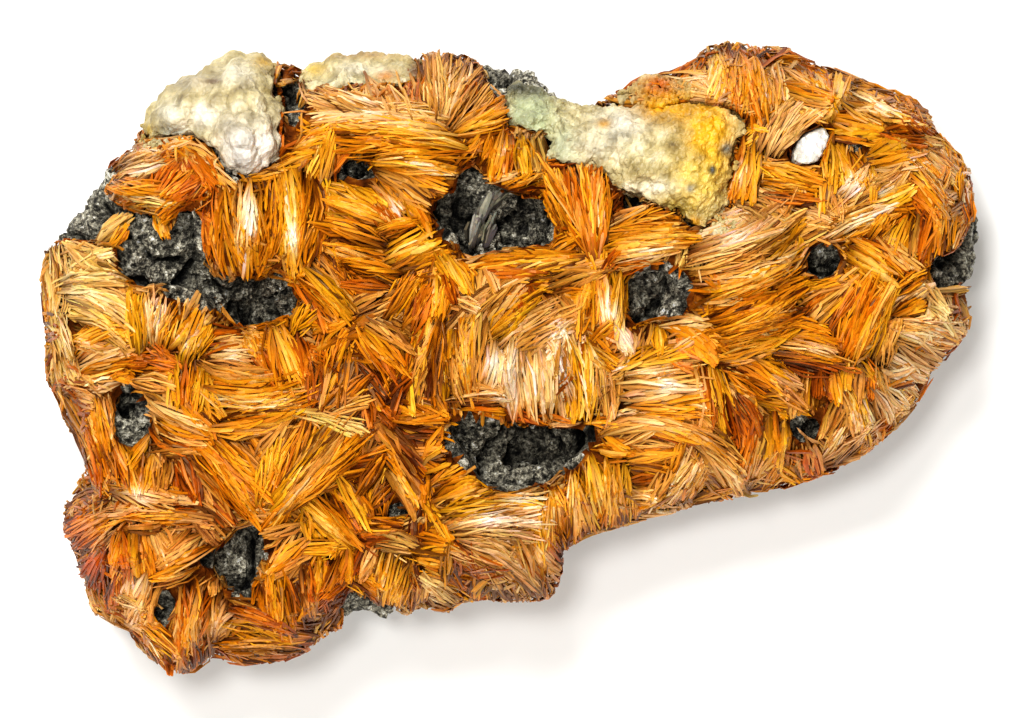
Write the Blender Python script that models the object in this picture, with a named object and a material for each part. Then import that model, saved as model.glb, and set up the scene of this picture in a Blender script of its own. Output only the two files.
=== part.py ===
"""Barite specimen: a plate of dark rock under a crust of golden barite sheaves.

The plate lies flat with its crystal face up. +X runs along its length, +Y along its width
and +Z up, with the origin under the middle of the plate. All the sizes below are in
millimetres of the real specimen, and one factor turns them to metres.
"""

import math
import random
from typing import NamedTuple

import bmesh
import bpy
import numpy as np
from mathutils import Vector, noise
from mathutils.geometry import delaunay_2d_cdt

MM = 0.001

# Driving sizes of the plate, in mm
RIM_HEIGHT = 16.5
PLATEAU_HEIGHT = 26.0
SHOULDER = 13.0
CRUST_COVER = 5.0
BASE_SCALE = 0.64
JOINT_GAP = 0.35

# The spacing of each surface's facets, in mm
CRUST_FACET = 4.6
ROCK_FACET = 5.4
CALCITE_FACET = 3.0
CRUST_THINNING = 0.53
FACET_JITTER = 0.22
WELD_DISTANCE = 0.004

# Uneven relief of the surfaces: how wide its lumps are, and how far they rise, in mm
CRUST_LUMPS = (8.0, 1.1)
ROCK_LUMPS = (5.0, 0.9)
CALCITE_LUMPS = (3.0, 0.5)
FLANK_FOLDS = (5.0, 2.2)
BREAK_WIDTH = 7.0
RIB_WIDTH = 3.1

# The middle that the outline's rays start from
HUB = Vector((-4.0, 1.0))

# The plate's outline, clockwise from the left: x, y, and how far the rock stands back from it.
# The stand-back is negative where the rock itself is the edge and the crust stands back.
OUTLINE = [
    (-46.2, 28.8, 3.0), (-46.0, 31.0, 3.0), (-43.8, 33.8, 3.0), (-40.0, 36.0, 3.0),
    (-36.2, 38.0, 3.0), (-33.5, 38.7, 3.0), (-30.6, 37.6, 3.0), (-26.5, 36.0, 2.5),
    (-24.2, 37.3, 2.5), (-20.0, 38.8, 2.5), (-15.5, 38.3, 2.5), (-12.2, 37.7, 2.5),
    (-9.0, 38.4, 2.5), (-5.5, 37.7, 1.5), (-2.5, 36.8, -1.5), (0.5, 36.2, -1.5),
    (4.0, 34.3, -1.5), (7.5, 32.4, 1.0), (10.5, 31.7, 2.0), (13.0, 33.0, 2.5),
    (16.5, 35.2, 2.5), (20.5, 36.0, 2.5), (22.8, 37.2, 2.5), (25.2, 39.3, 2.5),
    (27.5, 39.8, 2.5), (30.5, 38.9, 2.0), (34.6, 38.8, 2.0), (37.0, 37.3, 2.5),
    (40.5, 36.1, 2.5), (45.0, 34.4, 2.5), (48.8, 32.2, 2.5), (51.6, 29.6, 2.5),
    (55.0, 27.0, 2.5), (57.2, 23.5, 2.5), (57.8, 20.2, 1.0), (58.6, 17.0, -1.5),
    (58.8, 14.0, -1.5), (58.0, 10.3, -1.0), (57.4, 6.2, 2.0), (56.8, 3.2, 3.0),
    (54.6, 0.7, 3.0), (51.8, -3.2, 3.0), (50.0, -6.2, 3.0), (47.0, -9.5, 3.0),
    (44.0, -11.9, 3.0), (40.5, -13.9, 3.0), (36.5, -15.2, 3.0), (31.5, -16.6, 3.0),
    (26.0, -17.5, 3.0), (20.0, -18.8, 3.0), (14.5, -20.2, 3.0), (9.0, -22.0, 3.0),
    (6.4, -24.0, 3.0), (5.9, -27.0, 3.0), (4.8, -29.8, 2.5), (1.5, -30.3, 2.5),
    (-3.0, -30.1, 2.5), (-6.0, -30.1, 2.5), (-8.2, -31.2, 2.5), (-10.8, -30.8, 2.5),
    (-13.5, -31.8, 1.5), (-16.2, -32.2, -2.0), (-20.0, -32.4, -2.5), (-21.6, -33.4, 1.0),
    (-24.4, -34.8, 2.5), (-25.4, -36.3, 3.0), (-29.0, -37.7, 3.0), (-32.5, -38.2, 3.0),
    (-35.5, -37.8, 3.0), (-37.6, -37.2, 3.0), (-40.2, -39.0, 3.0), (-43.0, -39.7, 3.0),
    (-44.4, -37.0, 3.0), (-48.0, -34.0, 3.0), (-52.4, -31.7, 3.0), (-53.2, -28.5, 3.0),
    (-54.4, -24.5, 3.0), (-56.1, -21.5, 3.0), (-55.8, -18.2, 3.0), (-53.3, -14.0, 3.0),
    (-53.6, -11.2, 3.0), (-55.5, -8.8, 3.0), (-56.6, -5.2, 3.0), (-58.2, -2.8, 3.0),
    (-58.2, 1.0, 3.0), (-58.5, 6.0, 3.0), (-58.9, 10.0, 2.5), (-58.5, 13.2, 1.0),
    (-57.3, 16.2, -1.0), (-55.0, 18.8, -1.5), (-53.0, 22.0, -1.0), (-50.2, 24.4, 1.5),
    (-47.8, 26.3, 2.5),
]


class Swell(NamedTuple):
    """A rounded rise, or a hollow where its height is negative."""

    x: float
    y: float
    along: float
    across: float
    height: float


# Domes and hollows of the crystal face
CRUST_SWELLS = [
    Swell(0.5, 0.0, 12.0, 8.5, 7.5),
    Swell(-3.0, -22.5, 9.0, 6.5, 7.0),
    Swell(-32.0, 17.5, 6.5, 7.0, 5.5),
    Swell(-44.0, 23.0, 7.0, 4.5, 3.0),
    Swell(-14.0, 29.5, 12.0, 5.0, 3.5),
    Swell(-18.0, 14.0, 9.0, 7.0, 2.5),
    Swell(28.0, 9.0, 8.5, 8.0, 6.0),
    Swell(16.0, 14.5, 6.0, 4.5, 2.5),
    Swell(48.0, 18.0, 8.0, 8.0, 2.5),
    Swell(30.0, 32.0, 8.0, 6.0, 2.0),
    Swell(-47.0, -22.0, 7.5, 7.5, 5.0),
    Swell(-32.0, -33.0, 7.0, 4.0, 3.0),
    Swell(-33.0, -5.0, 9.0, 4.5, 3.0),
    Swell(-25.0, -14.0, 8.0, 6.0, 2.0),
    Swell(-43.0, 4.0, 6.0, 5.0, 2.0),
    Swell(10.0, -15.0, 5.0, 6.0, 3.0),
    Swell(23.0, -7.0, 7.0, 6.0, 2.0),
    Swell(1.0, -11.5, 7.0, 3.5, -3.5),
    Swell(-33.0, 8.0, 6.0, 5.0, -3.0),
    Swell(1.0, 17.0, 5.5, 4.0, -2.0),
    Swell(17.5, 7.5, 4.0, 3.5, -2.0),
    Swell(38.5, 12.0, 3.5, 3.5, -1.5),
    Swell(-34.0, -24.5, 4.0, 4.0, -2.5),
]

# What the rock adds under the crust: knobs that fill the shallow windows, hollows in the deep ones
ROCK_SWELLS = [
    Swell(-48.0, 14.5, 8.0, 5.0, 2.6),
    Swell(-33.0, 7.5, 6.5, 5.0, -3.5),
    Swell(1.5, -11.5, 8.0, 4.0, -2.5),
    Swell(-7.0, -10.5, 3.0, 3.5, 1.5),
    Swell(1.0, 17.0, 4.0, 3.0, -1.0),
    Swell(17.5, 7.5, 4.0, 3.5, -1.0),
    Swell(37.0, -8.0, 4.0, 4.0, -2.5),
    Swell(-34.0, -24.0, 4.0, 4.0, -1.5),
    Swell(56.0, 13.0, 4.0, 5.0, 2.0),
    Swell(2.0, 34.5, 6.0, 3.0, 2.5),
]


class Window(NamedTuple):
    """A break in the crust where the rock shows: its rim, and how far its floor leans away."""

    rim: list
    lean: tuple
    spread: float


WINDOWS = [
    # Upper left: the bare shoulder and the deep hollow under the ball
    Window([(-62, 14.3), (-60.5, 20), (-54.5, 25.2), (-51.8, 23), (-50.3, 20.3), (-46, 19.2), (-44.6, 18.6),
            (-43.4, 15.8), (-42, 18.8), (-39, 19.4), (-37.4, 20.2), (-37.2, 14.5), (-35.2, 10.6), (-31.2, 10.2),
            (-29.3, 12.8), (-26.2, 7.2), (-27.4, 5), (-30.2, 4.2), (-34, 3.2), (-37.3, 4.3), (-38.6, 7.6),
            (-42, 9.5), (-46.6, 8.3), (-49, 10), (-49.3, 13.6), (-52.8, 14.2), (-56.2, 14.2)], (2.0, 0.5), 1.0),
    # Upper middle: the slot and the round hollow beside it
    Window([(-7.4, 24.6), (-4.4, 24.8), (-2.2, 22.2), (0.2, 20.4), (4, 20.3), (6.2, 18.4), (6.8, 16.2),
            (5.2, 13.8), (2.4, 13), (-0.4, 13.5), (-4.8, 12.2), (-7, 13), (-6.8, 15), (-10.2, 17.6),
            (-9.8, 19.8), (-7.2, 21)], (0.3, 0.8), 1.05),
    # The eye, with its roof under the central dome
    Window([(-8.3, -8.2), (-7.2, -6.9), (-4, -7.4), (0, -7.3), (3.6, -8.2), (8.8, -7.8), (10.2, -9.6),
            (6.6, -13.4), (4.8, -15.9), (0, -16.2), (-3.6, -15.7), (-5.6, -11.8)], (0.5, 2.6), 1.06),
    # Right middle
    Window([(13.8, 10.3), (17, 11.1), (19.6, 10.8), (20.6, 8.6), (23, 7), (21.5, 5.2), (17.5, 4.6),
            (14.8, 3.6), (13.6, 6)], (0.8, 0.4), 1.05),
    Window([(36.2, 11.6), (37.3, 13.8), (39.6, 14.6), (41, 13.4), (40, 10), (36.8, 10.3)], (0.4, 0.4), 1.05),
    # Right edge
    Window([(51.2, 11), (53, 13), (55.4, 14), (56.6, 16.6), (58, 18.4), (63, 19.5), (63.5, 9.2), (57, 9.4),
            (53.2, 8.4), (51.9, 9.6)], (0.0, 0.0), 1.0),
    # Lower right slot
    Window([(34.4, -7.7), (37, -7.2), (38.4, -5.7), (39.1, -6.8), (37.9, -10.4), (36.4, -10.9),
            (35.9, -9)], (0.3, 0.3), 1.05),
    # Lower left slits
    Window([(-49.4, -3.8), (-47, -3.7), (-46.8, -8.4), (-44.8, -10.6), (-46.6, -11), (-48.2, -9.4),
            (-49.5, -7.5)], (0.5, 0.0), 1.05),
    Window([(-34, -20.3), (-31.4, -20), (-30.8, -23), (-31, -27), (-33, -29), (-36, -28.9), (-36.4, -27.2),
            (-38.7, -26.6), (-35.6, -22)], (0.4, 0.6), 1.05),
    Window([(-41.6, -28.2), (-41.4, -30.6), (-43, -33), (-44.3, -31.8), (-43, -29.6)], (0.3, 0.3), 1.05),
    # Small windows
    Window([(-21.4, 25), (-18, 25), (-17.5, 23.5), (-18.6, 21.4), (-21, 22.3)], (0.0, 0.6), 1.05),
    Window([(11.9, 19.8), (14, 20.6), (16, 20), (15.5, 18.5), (12.4, 17.3)], (0.0, 0.4), 1.05),
    Window([(-18.5, 7.2), (-16.2, 7.7), (-16.8, 6.1)], (0.0, 0.3), 1.05),
    Window([(41, 26.5), (42.7, 27.4), (43.8, 26.4), (42.8, 25.5)], (0.0, 0.2), 1.0),
    Window([(-15.1, -17.4), (-13, -18.4), (-12.6, -19.8), (-14.6, -20)], (0.2, 0.2), 1.05),
    # Top edge, and the grey rock between the calcite and the fans
    Window([(-3.7, 36), (-2.8, 33.9), (-1.2, 32.4), (0.2, 34.4), (3, 34.4), (5.6, 32.7), (8.2, 32),
            (8, 36), (3, 42), (-4, 42)], (0.0, 0.0), 1.0),
    Window([(-29.4, 34.2), (-26, 34.1), (-25.5, 31.5), (-26.3, 29.4), (-26.1, 26.4), (-27.8, 26.2),
            (-28.4, 31)], (0.0, 0.3), 1.0),
    # Lower edge, where a block of rock stands out
    Window([(-22, -38), (-21.6, -29.6), (-20.2, -28.2), (-17.4, -29.8), (-15.6, -31.2),
            (-15.4, -38)], (0.0, 0.4), 1.0),
]


class Sheaf(NamedTuple):
    """A bundle of laths: where it roots, where its tips end, and the form it grows in."""

    root: tuple
    tip: tuple
    width: float
    bend: float
    rise: float


SHEAVES = [
    # Mound at the upper left
    Sheaf((-37.0, 21.6), (-48.6, 25.0), 5.4, -1.0, 2.0),
    Sheaf((-38.0, 20.4), (-50.4, 21.2), 3.6, 0.5, 1.8),
    # Ball over the deep hollow
    Sheaf((-35.4, 22.0), (-35.2, 10.0), 5.0, -1.8, 2.2),
    Sheaf((-32.2, 22.4), (-32.6, 9.8), 5.2, 0.0, 3.2),
    Sheaf((-28.6, 24.0), (-27.4, 11.6), 5.6, 1.8, 2.8),
    Sheaf((-28.6, 23.4), (-22.0, 27.8), 3.0, 0.5, 1.8),
    # Upper fans
    Sheaf((-4.6, 25.8), (-26.4, 29.4), 4.8, -1.4, 2.5),
    Sheaf((-6.0, 28.6), (-24.6, 32.4), 3.8, -1.0, 2.1),
    Sheaf((-21.0, 27.0), (-6.2, 22.4), 4.2, 0.6, 2.4),
    Sheaf((-24.0, 21.5), (-12.6, 14.2), 5.6, 0.8, 2.5),
    Sheaf((-23.4, 14.6), (-12.0, 9.8), 4.2, -0.8, 2.2),
    Sheaf((-16.0, 12.0), (-6.3, 15.0), 5.0, 0.5, 2.7),
    Sheaf((-17.4, 21.6), (-11.4, 15.6), 3.0, 0.0, 1.8),
    Sheaf((-9.0, 29.0), (-9.4, 37.6), 4.0, 0.0, 2.2),
    Sheaf((-7.8, 28.4), (-4.2, 36.8), 3.6, 0.3, 2.4),
    Sheaf((-7.4, 27.4), (0.4, 31.4), 3.6, -0.3, 2.3),
    Sheaf((5.0, 27.8), (-5.4, 24.4), 3.4, 0.3, 2.4),
    Sheaf((-3.4, 22.2), (4.6, 23.6), 2.8, -0.4, 2.2),
    # Standing sheaves that meet beside the upper middle hollow
    Sheaf((10.2, 12.6), (5.0, 24.4), 4.0, 0.4, 2.4),
    Sheaf((10.9, 12.4), (10.8, 24.0), 4.2, 0.0, 2.6),
    Sheaf((11.2, 12.2), (21.6, 16.4), 6.6, 0.2, 3.0),
    Sheaf((0.2, 12.6), (9.4, 12.8), 2.6, -0.3, 1.8),
    Sheaf((10.6, 11.8), (7.6, 4.2), 3.6, 0.3, 2.0),
    Sheaf((11.6, 11.4), (13.0, 3.0), 3.2, -0.3, 2.0),
    # Left middle
    Sheaf((-28.0, 12.4), (-19.6, 5.0), 4.6, 0.6, 2.3),
    Sheaf((-14.6, 2.6), (-7.6, 10.4), 4.2, -0.5, 2.2),
    Sheaf((-20.4, 5.0), (-13.6, -4.4), 4.2, 0.8, 2.2),
    Sheaf((-21.8, 5.0), (-26.0, -3.8), 4.2, -0.4, 2.2),
    Sheaf((-38.2, 0.8), (-46.0, 8.2), 6.2, 0.8, 2.8),
    Sheaf((-48.6, 1.6), (-55.4, 12.4), 5.0, -0.5, 2.0),
    Sheaf((-50.2, 0.6), (-57.4, 3.8), 4.0, 0.0, 1.6),
    Sheaf((-46.2, -2.0), (-56.4, -2.6), 4.0, 0.0, 1.8),
    Sheaf((-38.6, 0.2), (-30.0, 1.4), 3.6, 0.4, 2.0),
    Sheaf((-40.0, -3.2), (-25.2, -5.8), 7.0, 0.3, 3.2),
    Sheaf((-46.4, -4.6), (-36.2, -9.6), 4.0, 0.6, 2.2),
    Sheaf((-51.4, -4.2), (-52.6, -13.2), 3.6, 0.2, 1.8),
    Sheaf((-50.0, -7.2), (-46.6, -14.6), 3.6, 0.0, 1.8),
    # Lower left
    Sheaf((-38.4, -10.0), (-31.2, -19.0), 7.0, 0.5, 2.8),
    Sheaf((-30.2, -19.8), (-18.6, -9.0), 6.6, -0.6, 3.0),
    Sheaf((-38.2, -17.0), (-50.2, -15.4), 3.2, 0.4, 2.0),
    Sheaf((-38.6, -19.6), (-49.8, -18.6), 3.2, 0.0, 2.0),
    Sheaf((-44.6, -21.2), (-55.2, -19.8), 5.4, 0.0, 2.4),
    Sheaf((-44.6, -24.0), (-53.4, -26.0), 5.0, 0.0, 2.4),
    Sheaf((-43.4, -27.2), (-36.8, -22.2), 5.4, 0.5, 2.6),
    Sheaf((-47.0, -29.0), (-43.6, -38.2), 4.6, 0.5, 2.2),
    Sheaf((-37.6, -28.4), (-41.6, -38.4), 4.6, 0.0, 2.4),
    Sheaf((-35.6, -30.2), (-26.8, -34.2), 5.0, 0.8, 2.4),
    Sheaf((-36.4, -35.6), (-26.2, -35.6), 3.4, 0.4, 1.8),
    Sheaf((-26.0, -17.6), (-20.2, -23.0), 4.6, 0.4, 2.4),
    Sheaf((-21.2, -14.6), (-16.2, -20.2), 3.8, 0.2, 2.0),
    Sheaf((-20.4, -21.6), (-13.0, -21.0), 2.6, 0.0, 1.6),
    Sheaf((-21.6, -22.6), (-26.2, -32.4), 5.0, 0.5, 2.6),
    Sheaf((-30.0, -23.8), (-28.2, -33.6), 3.6, -0.3, 2.2),
    Sheaf((-17.4, -23.6), (-14.0, -30.8), 5.0, 0.0, 2.2),
    Sheaf((-12.0, -23.6), (-8.8, -30.2), 4.6, 0.0, 2.0),
    # Lower bulb and the sheaves about the eye
    Sheaf((-11.0, -19.4), (2.4, -20.6), 4.6, 0.8, 2.4),
    Sheaf((-8.6, -22.0), (3.0, -29.2), 5.6, 0.8, 2.8),
    Sheaf((3.0, -16.8), (4.4, -27.4), 3.6, 0.3, 2.2),
    Sheaf((-12.0, -16.0), (-6.4, -12.2), 3.4, 0.2, 2.0),
    Sheaf((-15.4, -9.6), (-12.0, -18.4), 3.6, 0.0, 2.0),
    Sheaf((-18.4, -6.2), (-9.2, -8.0), 3.6, 0.3, 2.0),
    Sheaf((6.8, -12.6), (8.4, -21.0), 4.4, 0.3, 2.4),
    Sheaf((11.0, -10.6), (12.8, -19.8), 4.2, 0.2, 2.4),
    Sheaf((12.6, -8.4), (26.0, -11.0), 4.0, 1.2, 2.2),
    Sheaf((16.6, -18.8), (24.6, -12.4), 4.6, 0.0, 2.2),
    # Central dome
    Sheaf((-7.6, 8.0), (-12.4, -4.8), 4.6, -0.8, 2.4),
    Sheaf((-2.6, 8.4), (-7.2, -5.6), 4.6, -0.8, 2.8),
    Sheaf((2.4, 8.4), (-1.6, -7.0), 4.6, -0.6, 3.0),
    Sheaf((6.0, 6.6), (4.4, -7.4), 4.6, 0.4, 3.0),
    Sheaf((8.6, 4.2), (10.0, -7.0), 4.2, 0.8, 2.6),
    Sheaf((11.6, 0.0), (21.4, -3.6), 5.0, 0.5, 2.2),
    # Right middle fan and what lies about it
    Sheaf((21.4, 11.4), (35.2, 17.2), 5.2, 0.5, 2.8),
    Sheaf((21.6, 6.6), (35.8, 12.6), 6.2, 0.5, 3.2),
    Sheaf((24.0, 1.2), (34.8, 7.2), 5.6, 0.5, 2.8),
    Sheaf((33.2, 1.6), (41.0, 0.8), 3.4, 0.0, 2.0),
    Sheaf((22.6, -0.6), (25.0, -9.4), 3.8, 0.2, 2.2),
    Sheaf((26.6, -0.6), (31.0, -9.4), 4.2, 0.3, 2.4),
    Sheaf((29.4, -8.6), (28.2, -16.2), 4.0, 0.0, 2.2),
    Sheaf((31.0, 0.0), (35.2, -6.2), 4.0, 0.0, 2.2),
    Sheaf((41.6, -1.4), (46.4, 8.8), 4.4, 0.3, 2.4),
    Sheaf((41.2, 14.0), (48.4, 7.8), 3.6, 0.3, 2.2),
    Sheaf((40.2, -4.6), (45.2, -10.0), 4.4, 0.0, 2.2),
    Sheaf((46.8, 3.4), (55.6, 5.8), 5.0, 0.0, 2.0),
    # Right lobe
    Sheaf((49.4, 25.0), (53.4, 13.8), 4.4, 0.8, 2.4),
    Sheaf((38.2, 18.0), (47.4, 16.6), 4.0, 0.4, 2.2),
    Sheaf((38.6, 22.4), (48.0, 21.6), 4.4, 0.3, 2.2),
    Sheaf((44.0, 32.4), (53.0, 28.4), 4.2, 0.3, 2.2),
    # Top right
    Sheaf((24.6, 37.8), (29.4, 30.2), 4.4, 0.3, 2.4),
    Sheaf((29.4, 38.2), (31.4, 30.6), 3.6, 0.0, 2.4),
    Sheaf((42.0, 34.4), (38.2, 29.2), 3.4, 0.0, 2.0),
    Sheaf((30.2, 23.8), (37.0, 20.8), 4.4, 0.0, 2.2),
]

# How a sheaf swells along its length, and how its section rises from edge to crest
SHEAF_STATIONS = [(0.0, 0.45, 0.25), (0.3, 0.92, 0.9), (0.62, 1.0, 1.0), (0.86, 0.66, 0.75), (1.0, 0.18, 0.25)]
SHEAF_SECTION = [(-1.0, 0.0), (-0.55, 0.72), (-0.05, 1.0), (0.6, 0.62), (1.0, 0.0)]
SHEAF_SINK = 2.2
SHEAF_SPREAD = 1.3
# How far in mm the ground beside a sheaf may stand above the ground under its crest
SHEAF_GROUND_RISE = 0.6
# A bow of this many mm is what one unit of bend gives at the middle of a sheaf
BEND_REACH = 4.0


class Knob(NamedTuple):
    """A rounded lobe of a calcite crust."""

    x: float
    y: float
    radius: float
    height: float


class Calcite(NamedTuple):
    """A crust of calcite: its outline, its lobes, its thickness and its colour."""

    outline: list
    knobs: list
    swell: float
    colour: str


CALCITES = {
    "calcite_crust_left": Calcite(
        [(-46.2, 28.6), (-46.1, 31), (-44, 33.7), (-40, 36.1), (-36, 38.1), (-33.5, 38.8), (-31.2, 38.1),
         (-29.8, 37), (-29.7, 34), (-28.8, 31), (-29, 28), (-28.7, 25.6), (-30, 23.4), (-32.6, 22.5), (-35, 23.2),
         (-36.6, 25.6), (-37.8, 27.4), (-40, 28), (-43, 27.3), (-45, 27.6)],
        [Knob(-32.6, 26.2, 4.6, 3.2), Knob(-33.6, 35.2, 4.4, 2.6), Knob(-41.2, 30.6, 4.2, 2.2),
         Knob(-38.0, 34.0, 4.4, 1.6), Knob(-32.0, 31.2, 3.6, 1.8)],
        1.2, "E9E2CC"),
    "calcite_crust_top": Calcite(
        [(-26.4, 36.1), (-24.4, 37.2), (-22, 38.2), (-17, 38.4), (-13, 37.6), (-11, 36.4), (-12, 34.4),
         (-16, 34.2), (-20, 34), (-22, 33.2), (-25, 33.4), (-26.4, 34.6)],
        [Knob(-23.0, 35.4, 3.0, 1.4), Knob(-17.6, 36.0, 3.4, 1.6), Knob(-13.4, 35.8, 2.6, 1.0)],
        1.2, "D9CFA6"),
    "calcite_crust_middle": Calcite(
        [(-0.8, 33.6), (-0.6, 31.2), (0, 29), (3, 28.2), (4.8, 28.5), (5, 27), (4.6, 25.3), (6, 24.3), (9.8, 24.6),
         (11.6, 23.6), (12.9, 22.4), (13, 21.4), (15.6, 20.4), (17.2, 19.6), (20.5, 18.6), (22.3, 16.4),
         (24, 16.1), (25, 18.3), (26.8, 19.1), (26.5, 21.6), (27.4, 24.5), (27.8, 27.5), (28.8, 29.2), (27, 31),
         (22, 32), (18, 31), (15, 31.5), (10.6, 31.6), (7.5, 32.2), (5.5, 32.5), (3, 34), (0.8, 34.4)],
        [Knob(2.4, 31.2, 3.6, 1.4), Knob(8.6, 28.4, 4.2, 1.4), Knob(14.6, 27.2, 5.0, 1.8),
         Knob(21.0, 26.0, 5.2, 2.0), Knob(24.6, 21.4, 3.8, 1.6), Knob(19.0, 21.8, 3.6, 1.4),
         Knob(25.4, 29.4, 3.0, 1.2)],
        1.0, "EDE4BE"),
    "calcite_bead": Calcite(
        [(34.7, 24.3), (34.6, 25.6), (35.4, 27.3), (37, 28.4), (38.7, 28.6), (39.3, 27.4), (38.7, 25.5),
         (37.6, 24.3), (36, 23.9)],
        [Knob(37.4, 27.0, 2.2, 2.0), Knob(36.0, 25.2, 1.8, 1.2)],
        1.4, "F3EEE6"),
}

# Crust levels: how far each ring of the flank is drawn in, and its height in mm below the rim
CRUST_FLANK = [(1.0, 2.6), (0.985, 5.4), (0.955, 8.2), (0.90, 9.0)]
# Rock levels: draw-in, and height as a share of the rim's
ROCK_FLANK = [(0.99, 0.74), (0.96, 0.50), (0.87, 0.24), (0.74, 0.06)]
# How far the flank's ribs and the rock's breaks stand in and out, in mm
CRUST_RIB = 1.1
ROCK_BREAK = 1.7
# The crust's hidden inner cap: its draw-in, and its height in mm
CRUST_CAP = (0.70, 9.0)
# The calcite's depth in mm, the rings of its flank, the draw-in of its cap and the roll of its rim in mm
CALCITE_DEPTH = 9.0
CALCITE_FLANK = [(1.0, 0.35), (0.97, 0.75)]
CALCITE_CAP = 0.94
CALCITE_ROLL = 2.6
# How far the windows' cutters reach above and below the crystal face, and the fall that their
# lean and spread are given for, in mm
WINDOW_ABOVE = 16.0
WINDOW_BELOW = 22.0
WINDOW_FALL = 10.0

ROCK_COLOUR = "3B3A36"
BARITE_COLOUR = "C9781E"


def polygon_of(points):
    """The corners of an outline as a two-column array."""
    return np.array([(point[0], point[1]) for point in points], dtype=float)


PLATE = polygon_of(OUTLINE)


def edge_distance(x, y, polygon):
    """The distance in mm from a point to the nearest side of a polygon."""
    starts = polygon
    sides = np.roll(polygon, -1, axis=0) - starts
    offsets = np.array((x, y)) - starts
    share = np.clip((offsets * sides).sum(axis=1) / (sides * sides).sum(axis=1), 0.0, 1.0)
    gaps = offsets - sides * share[:, None]
    return float(np.sqrt((gaps * gaps).sum(axis=1).min()))


def inside(x, y, polygon):
    """Whether a point lies inside a polygon."""
    ahead = np.roll(polygon, -1, axis=0)
    spans = (polygon[:, 1] > y) != (ahead[:, 1] > y)
    rise = np.where(ahead[:, 1] == polygon[:, 1], 1.0, ahead[:, 1] - polygon[:, 1])
    crossing = (ahead[:, 0] - polygon[:, 0]) * (y - polygon[:, 1]) / rise + polygon[:, 0]
    return bool(np.count_nonzero(spans & (x < crossing)) % 2)


def lumps(x, y, z, size, seed):
    """A smooth value between about -1 and 1 that varies over the given size in mm."""
    return noise.noise(Vector((x / size + seed * 7.31, y / size - seed * 3.17, z / size + seed)))


def relief(x, y, swells):
    """The height in mm that the rises and hollows add at a point."""
    return sum(s.height * math.exp(-((x - s.x) / s.along) ** 2 - ((y - s.y) / s.across) ** 2) for s in swells)


def crust_height(x, y):
    """The height in mm of the crystal face, before the sheaves stand on it."""
    reach = edge_distance(x, y, PLATE) / SHOULDER if inside(x, y, PLATE) else 0.0
    roll = math.sqrt(1.0 - (1.0 - min(reach, 1.0)) ** 2)
    width, rise = CRUST_LUMPS
    uneven = rise * lumps(x, y, 0.0, width, 1)
    return RIM_HEIGHT + roll * (PLATEAU_HEIGHT - RIM_HEIGHT + relief(x, y, CRUST_SWELLS) + uneven)


def rock_height(x, y):
    """The height in mm of the rock's upper face."""
    width, rise = ROCK_LUMPS
    rough = rise * lumps(x, y, 0.0, width, 2)
    return crust_height(x, y) - CRUST_COVER + relief(x, y, ROCK_SWELLS) + rough


def lattice(outline, spacing, seed):
    """A slightly uneven lattice of points inside an outline, joined by triangles.

    The outline's own corners come first, in their order.
    """
    draw = random.Random(seed)
    points = [Vector(corner) for corner in outline]
    low = outline.min(axis=0)
    high = outline.max(axis=0)
    row = 0
    y = low[1] + 0.5 * spacing
    while y < high[1]:
        x = low[0] + spacing * (0.25 + 0.5 * (row % 2))
        while x < high[0]:
            px = x + draw.uniform(-FACET_JITTER, FACET_JITTER) * spacing
            py = y + draw.uniform(-FACET_JITTER, FACET_JITTER) * spacing
            if inside(px, py, outline) and edge_distance(px, py, outline) > 0.5 * spacing:
                points.append(Vector((px, py)))
            x += spacing
        y += spacing * math.sqrt(3.0) / 2.0
        row += 1
    border = [(i, (i + 1) % len(outline)) for i in range(len(outline))]
    corners, _, faces, _, _, _ = delaunay_2d_cdt(points, border, [], 1, 1e-5)
    return [(corner.x, corner.y) for corner in corners], faces


def lump_mesh(outline, spacing, seed, top, flank, floor, hub, rib=0.0):
    """A closed lump: a faceted top over an outline, a flank of rings, and a cap below.

    top gives the height at x, y. flank lists each ring's draw-in towards the hub and a function
    of x, y and the rim's height that gives its height. floor is the last ring, closed by the cap.
    rib is how far in mm the flank stands in and out along its length.
    """
    plan, faces = lattice(outline, spacing, seed)
    shape = bmesh.new()
    upper = [shape.verts.new((x, y, top(x, y))) for x, y in plan]
    for face in faces:
        corners = [upper[i] for i in face]
        normal = (corners[1].co - corners[0].co).cross(corners[2].co - corners[0].co)
        shape.faces.new(corners if normal.z > 0.0 else corners[::-1])
    count = len(outline)
    ring = upper[:count]
    rim = [vert.co.copy() for vert in ring]
    for draw_in, level in flank + [floor]:
        lower = []
        for start in rim:
            away = Vector((start.x, start.y)) - hub
            ribbing = rib * lumps(start.x, start.y, 4.0 * draw_in, RIB_WIDTH, seed)
            spot = hub + away * draw_in + away.normalized() * ribbing
            lower.append(shape.verts.new((spot.x, spot.y, level(spot.x, spot.y, start.z))))
        for i in range(count):
            j = (i + 1) % count
            shape.faces.new((ring[i], lower[i], lower[j]))
            shape.faces.new((ring[i], lower[j], ring[j]))
        ring = lower
    plan_cap = [Vector((vert.co.x, vert.co.y)) for vert in ring]
    border = [(i, (i + 1) % count) for i in range(count)]
    _, _, caps, _, _, _ = delaunay_2d_cdt(plan_cap, border, [], 1, 1e-5)
    for face in caps:
        shape.faces.new([ring[i] for i in face])
    bmesh.ops.recalc_face_normals(shape, faces=shape.faces)
    return shape


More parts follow.
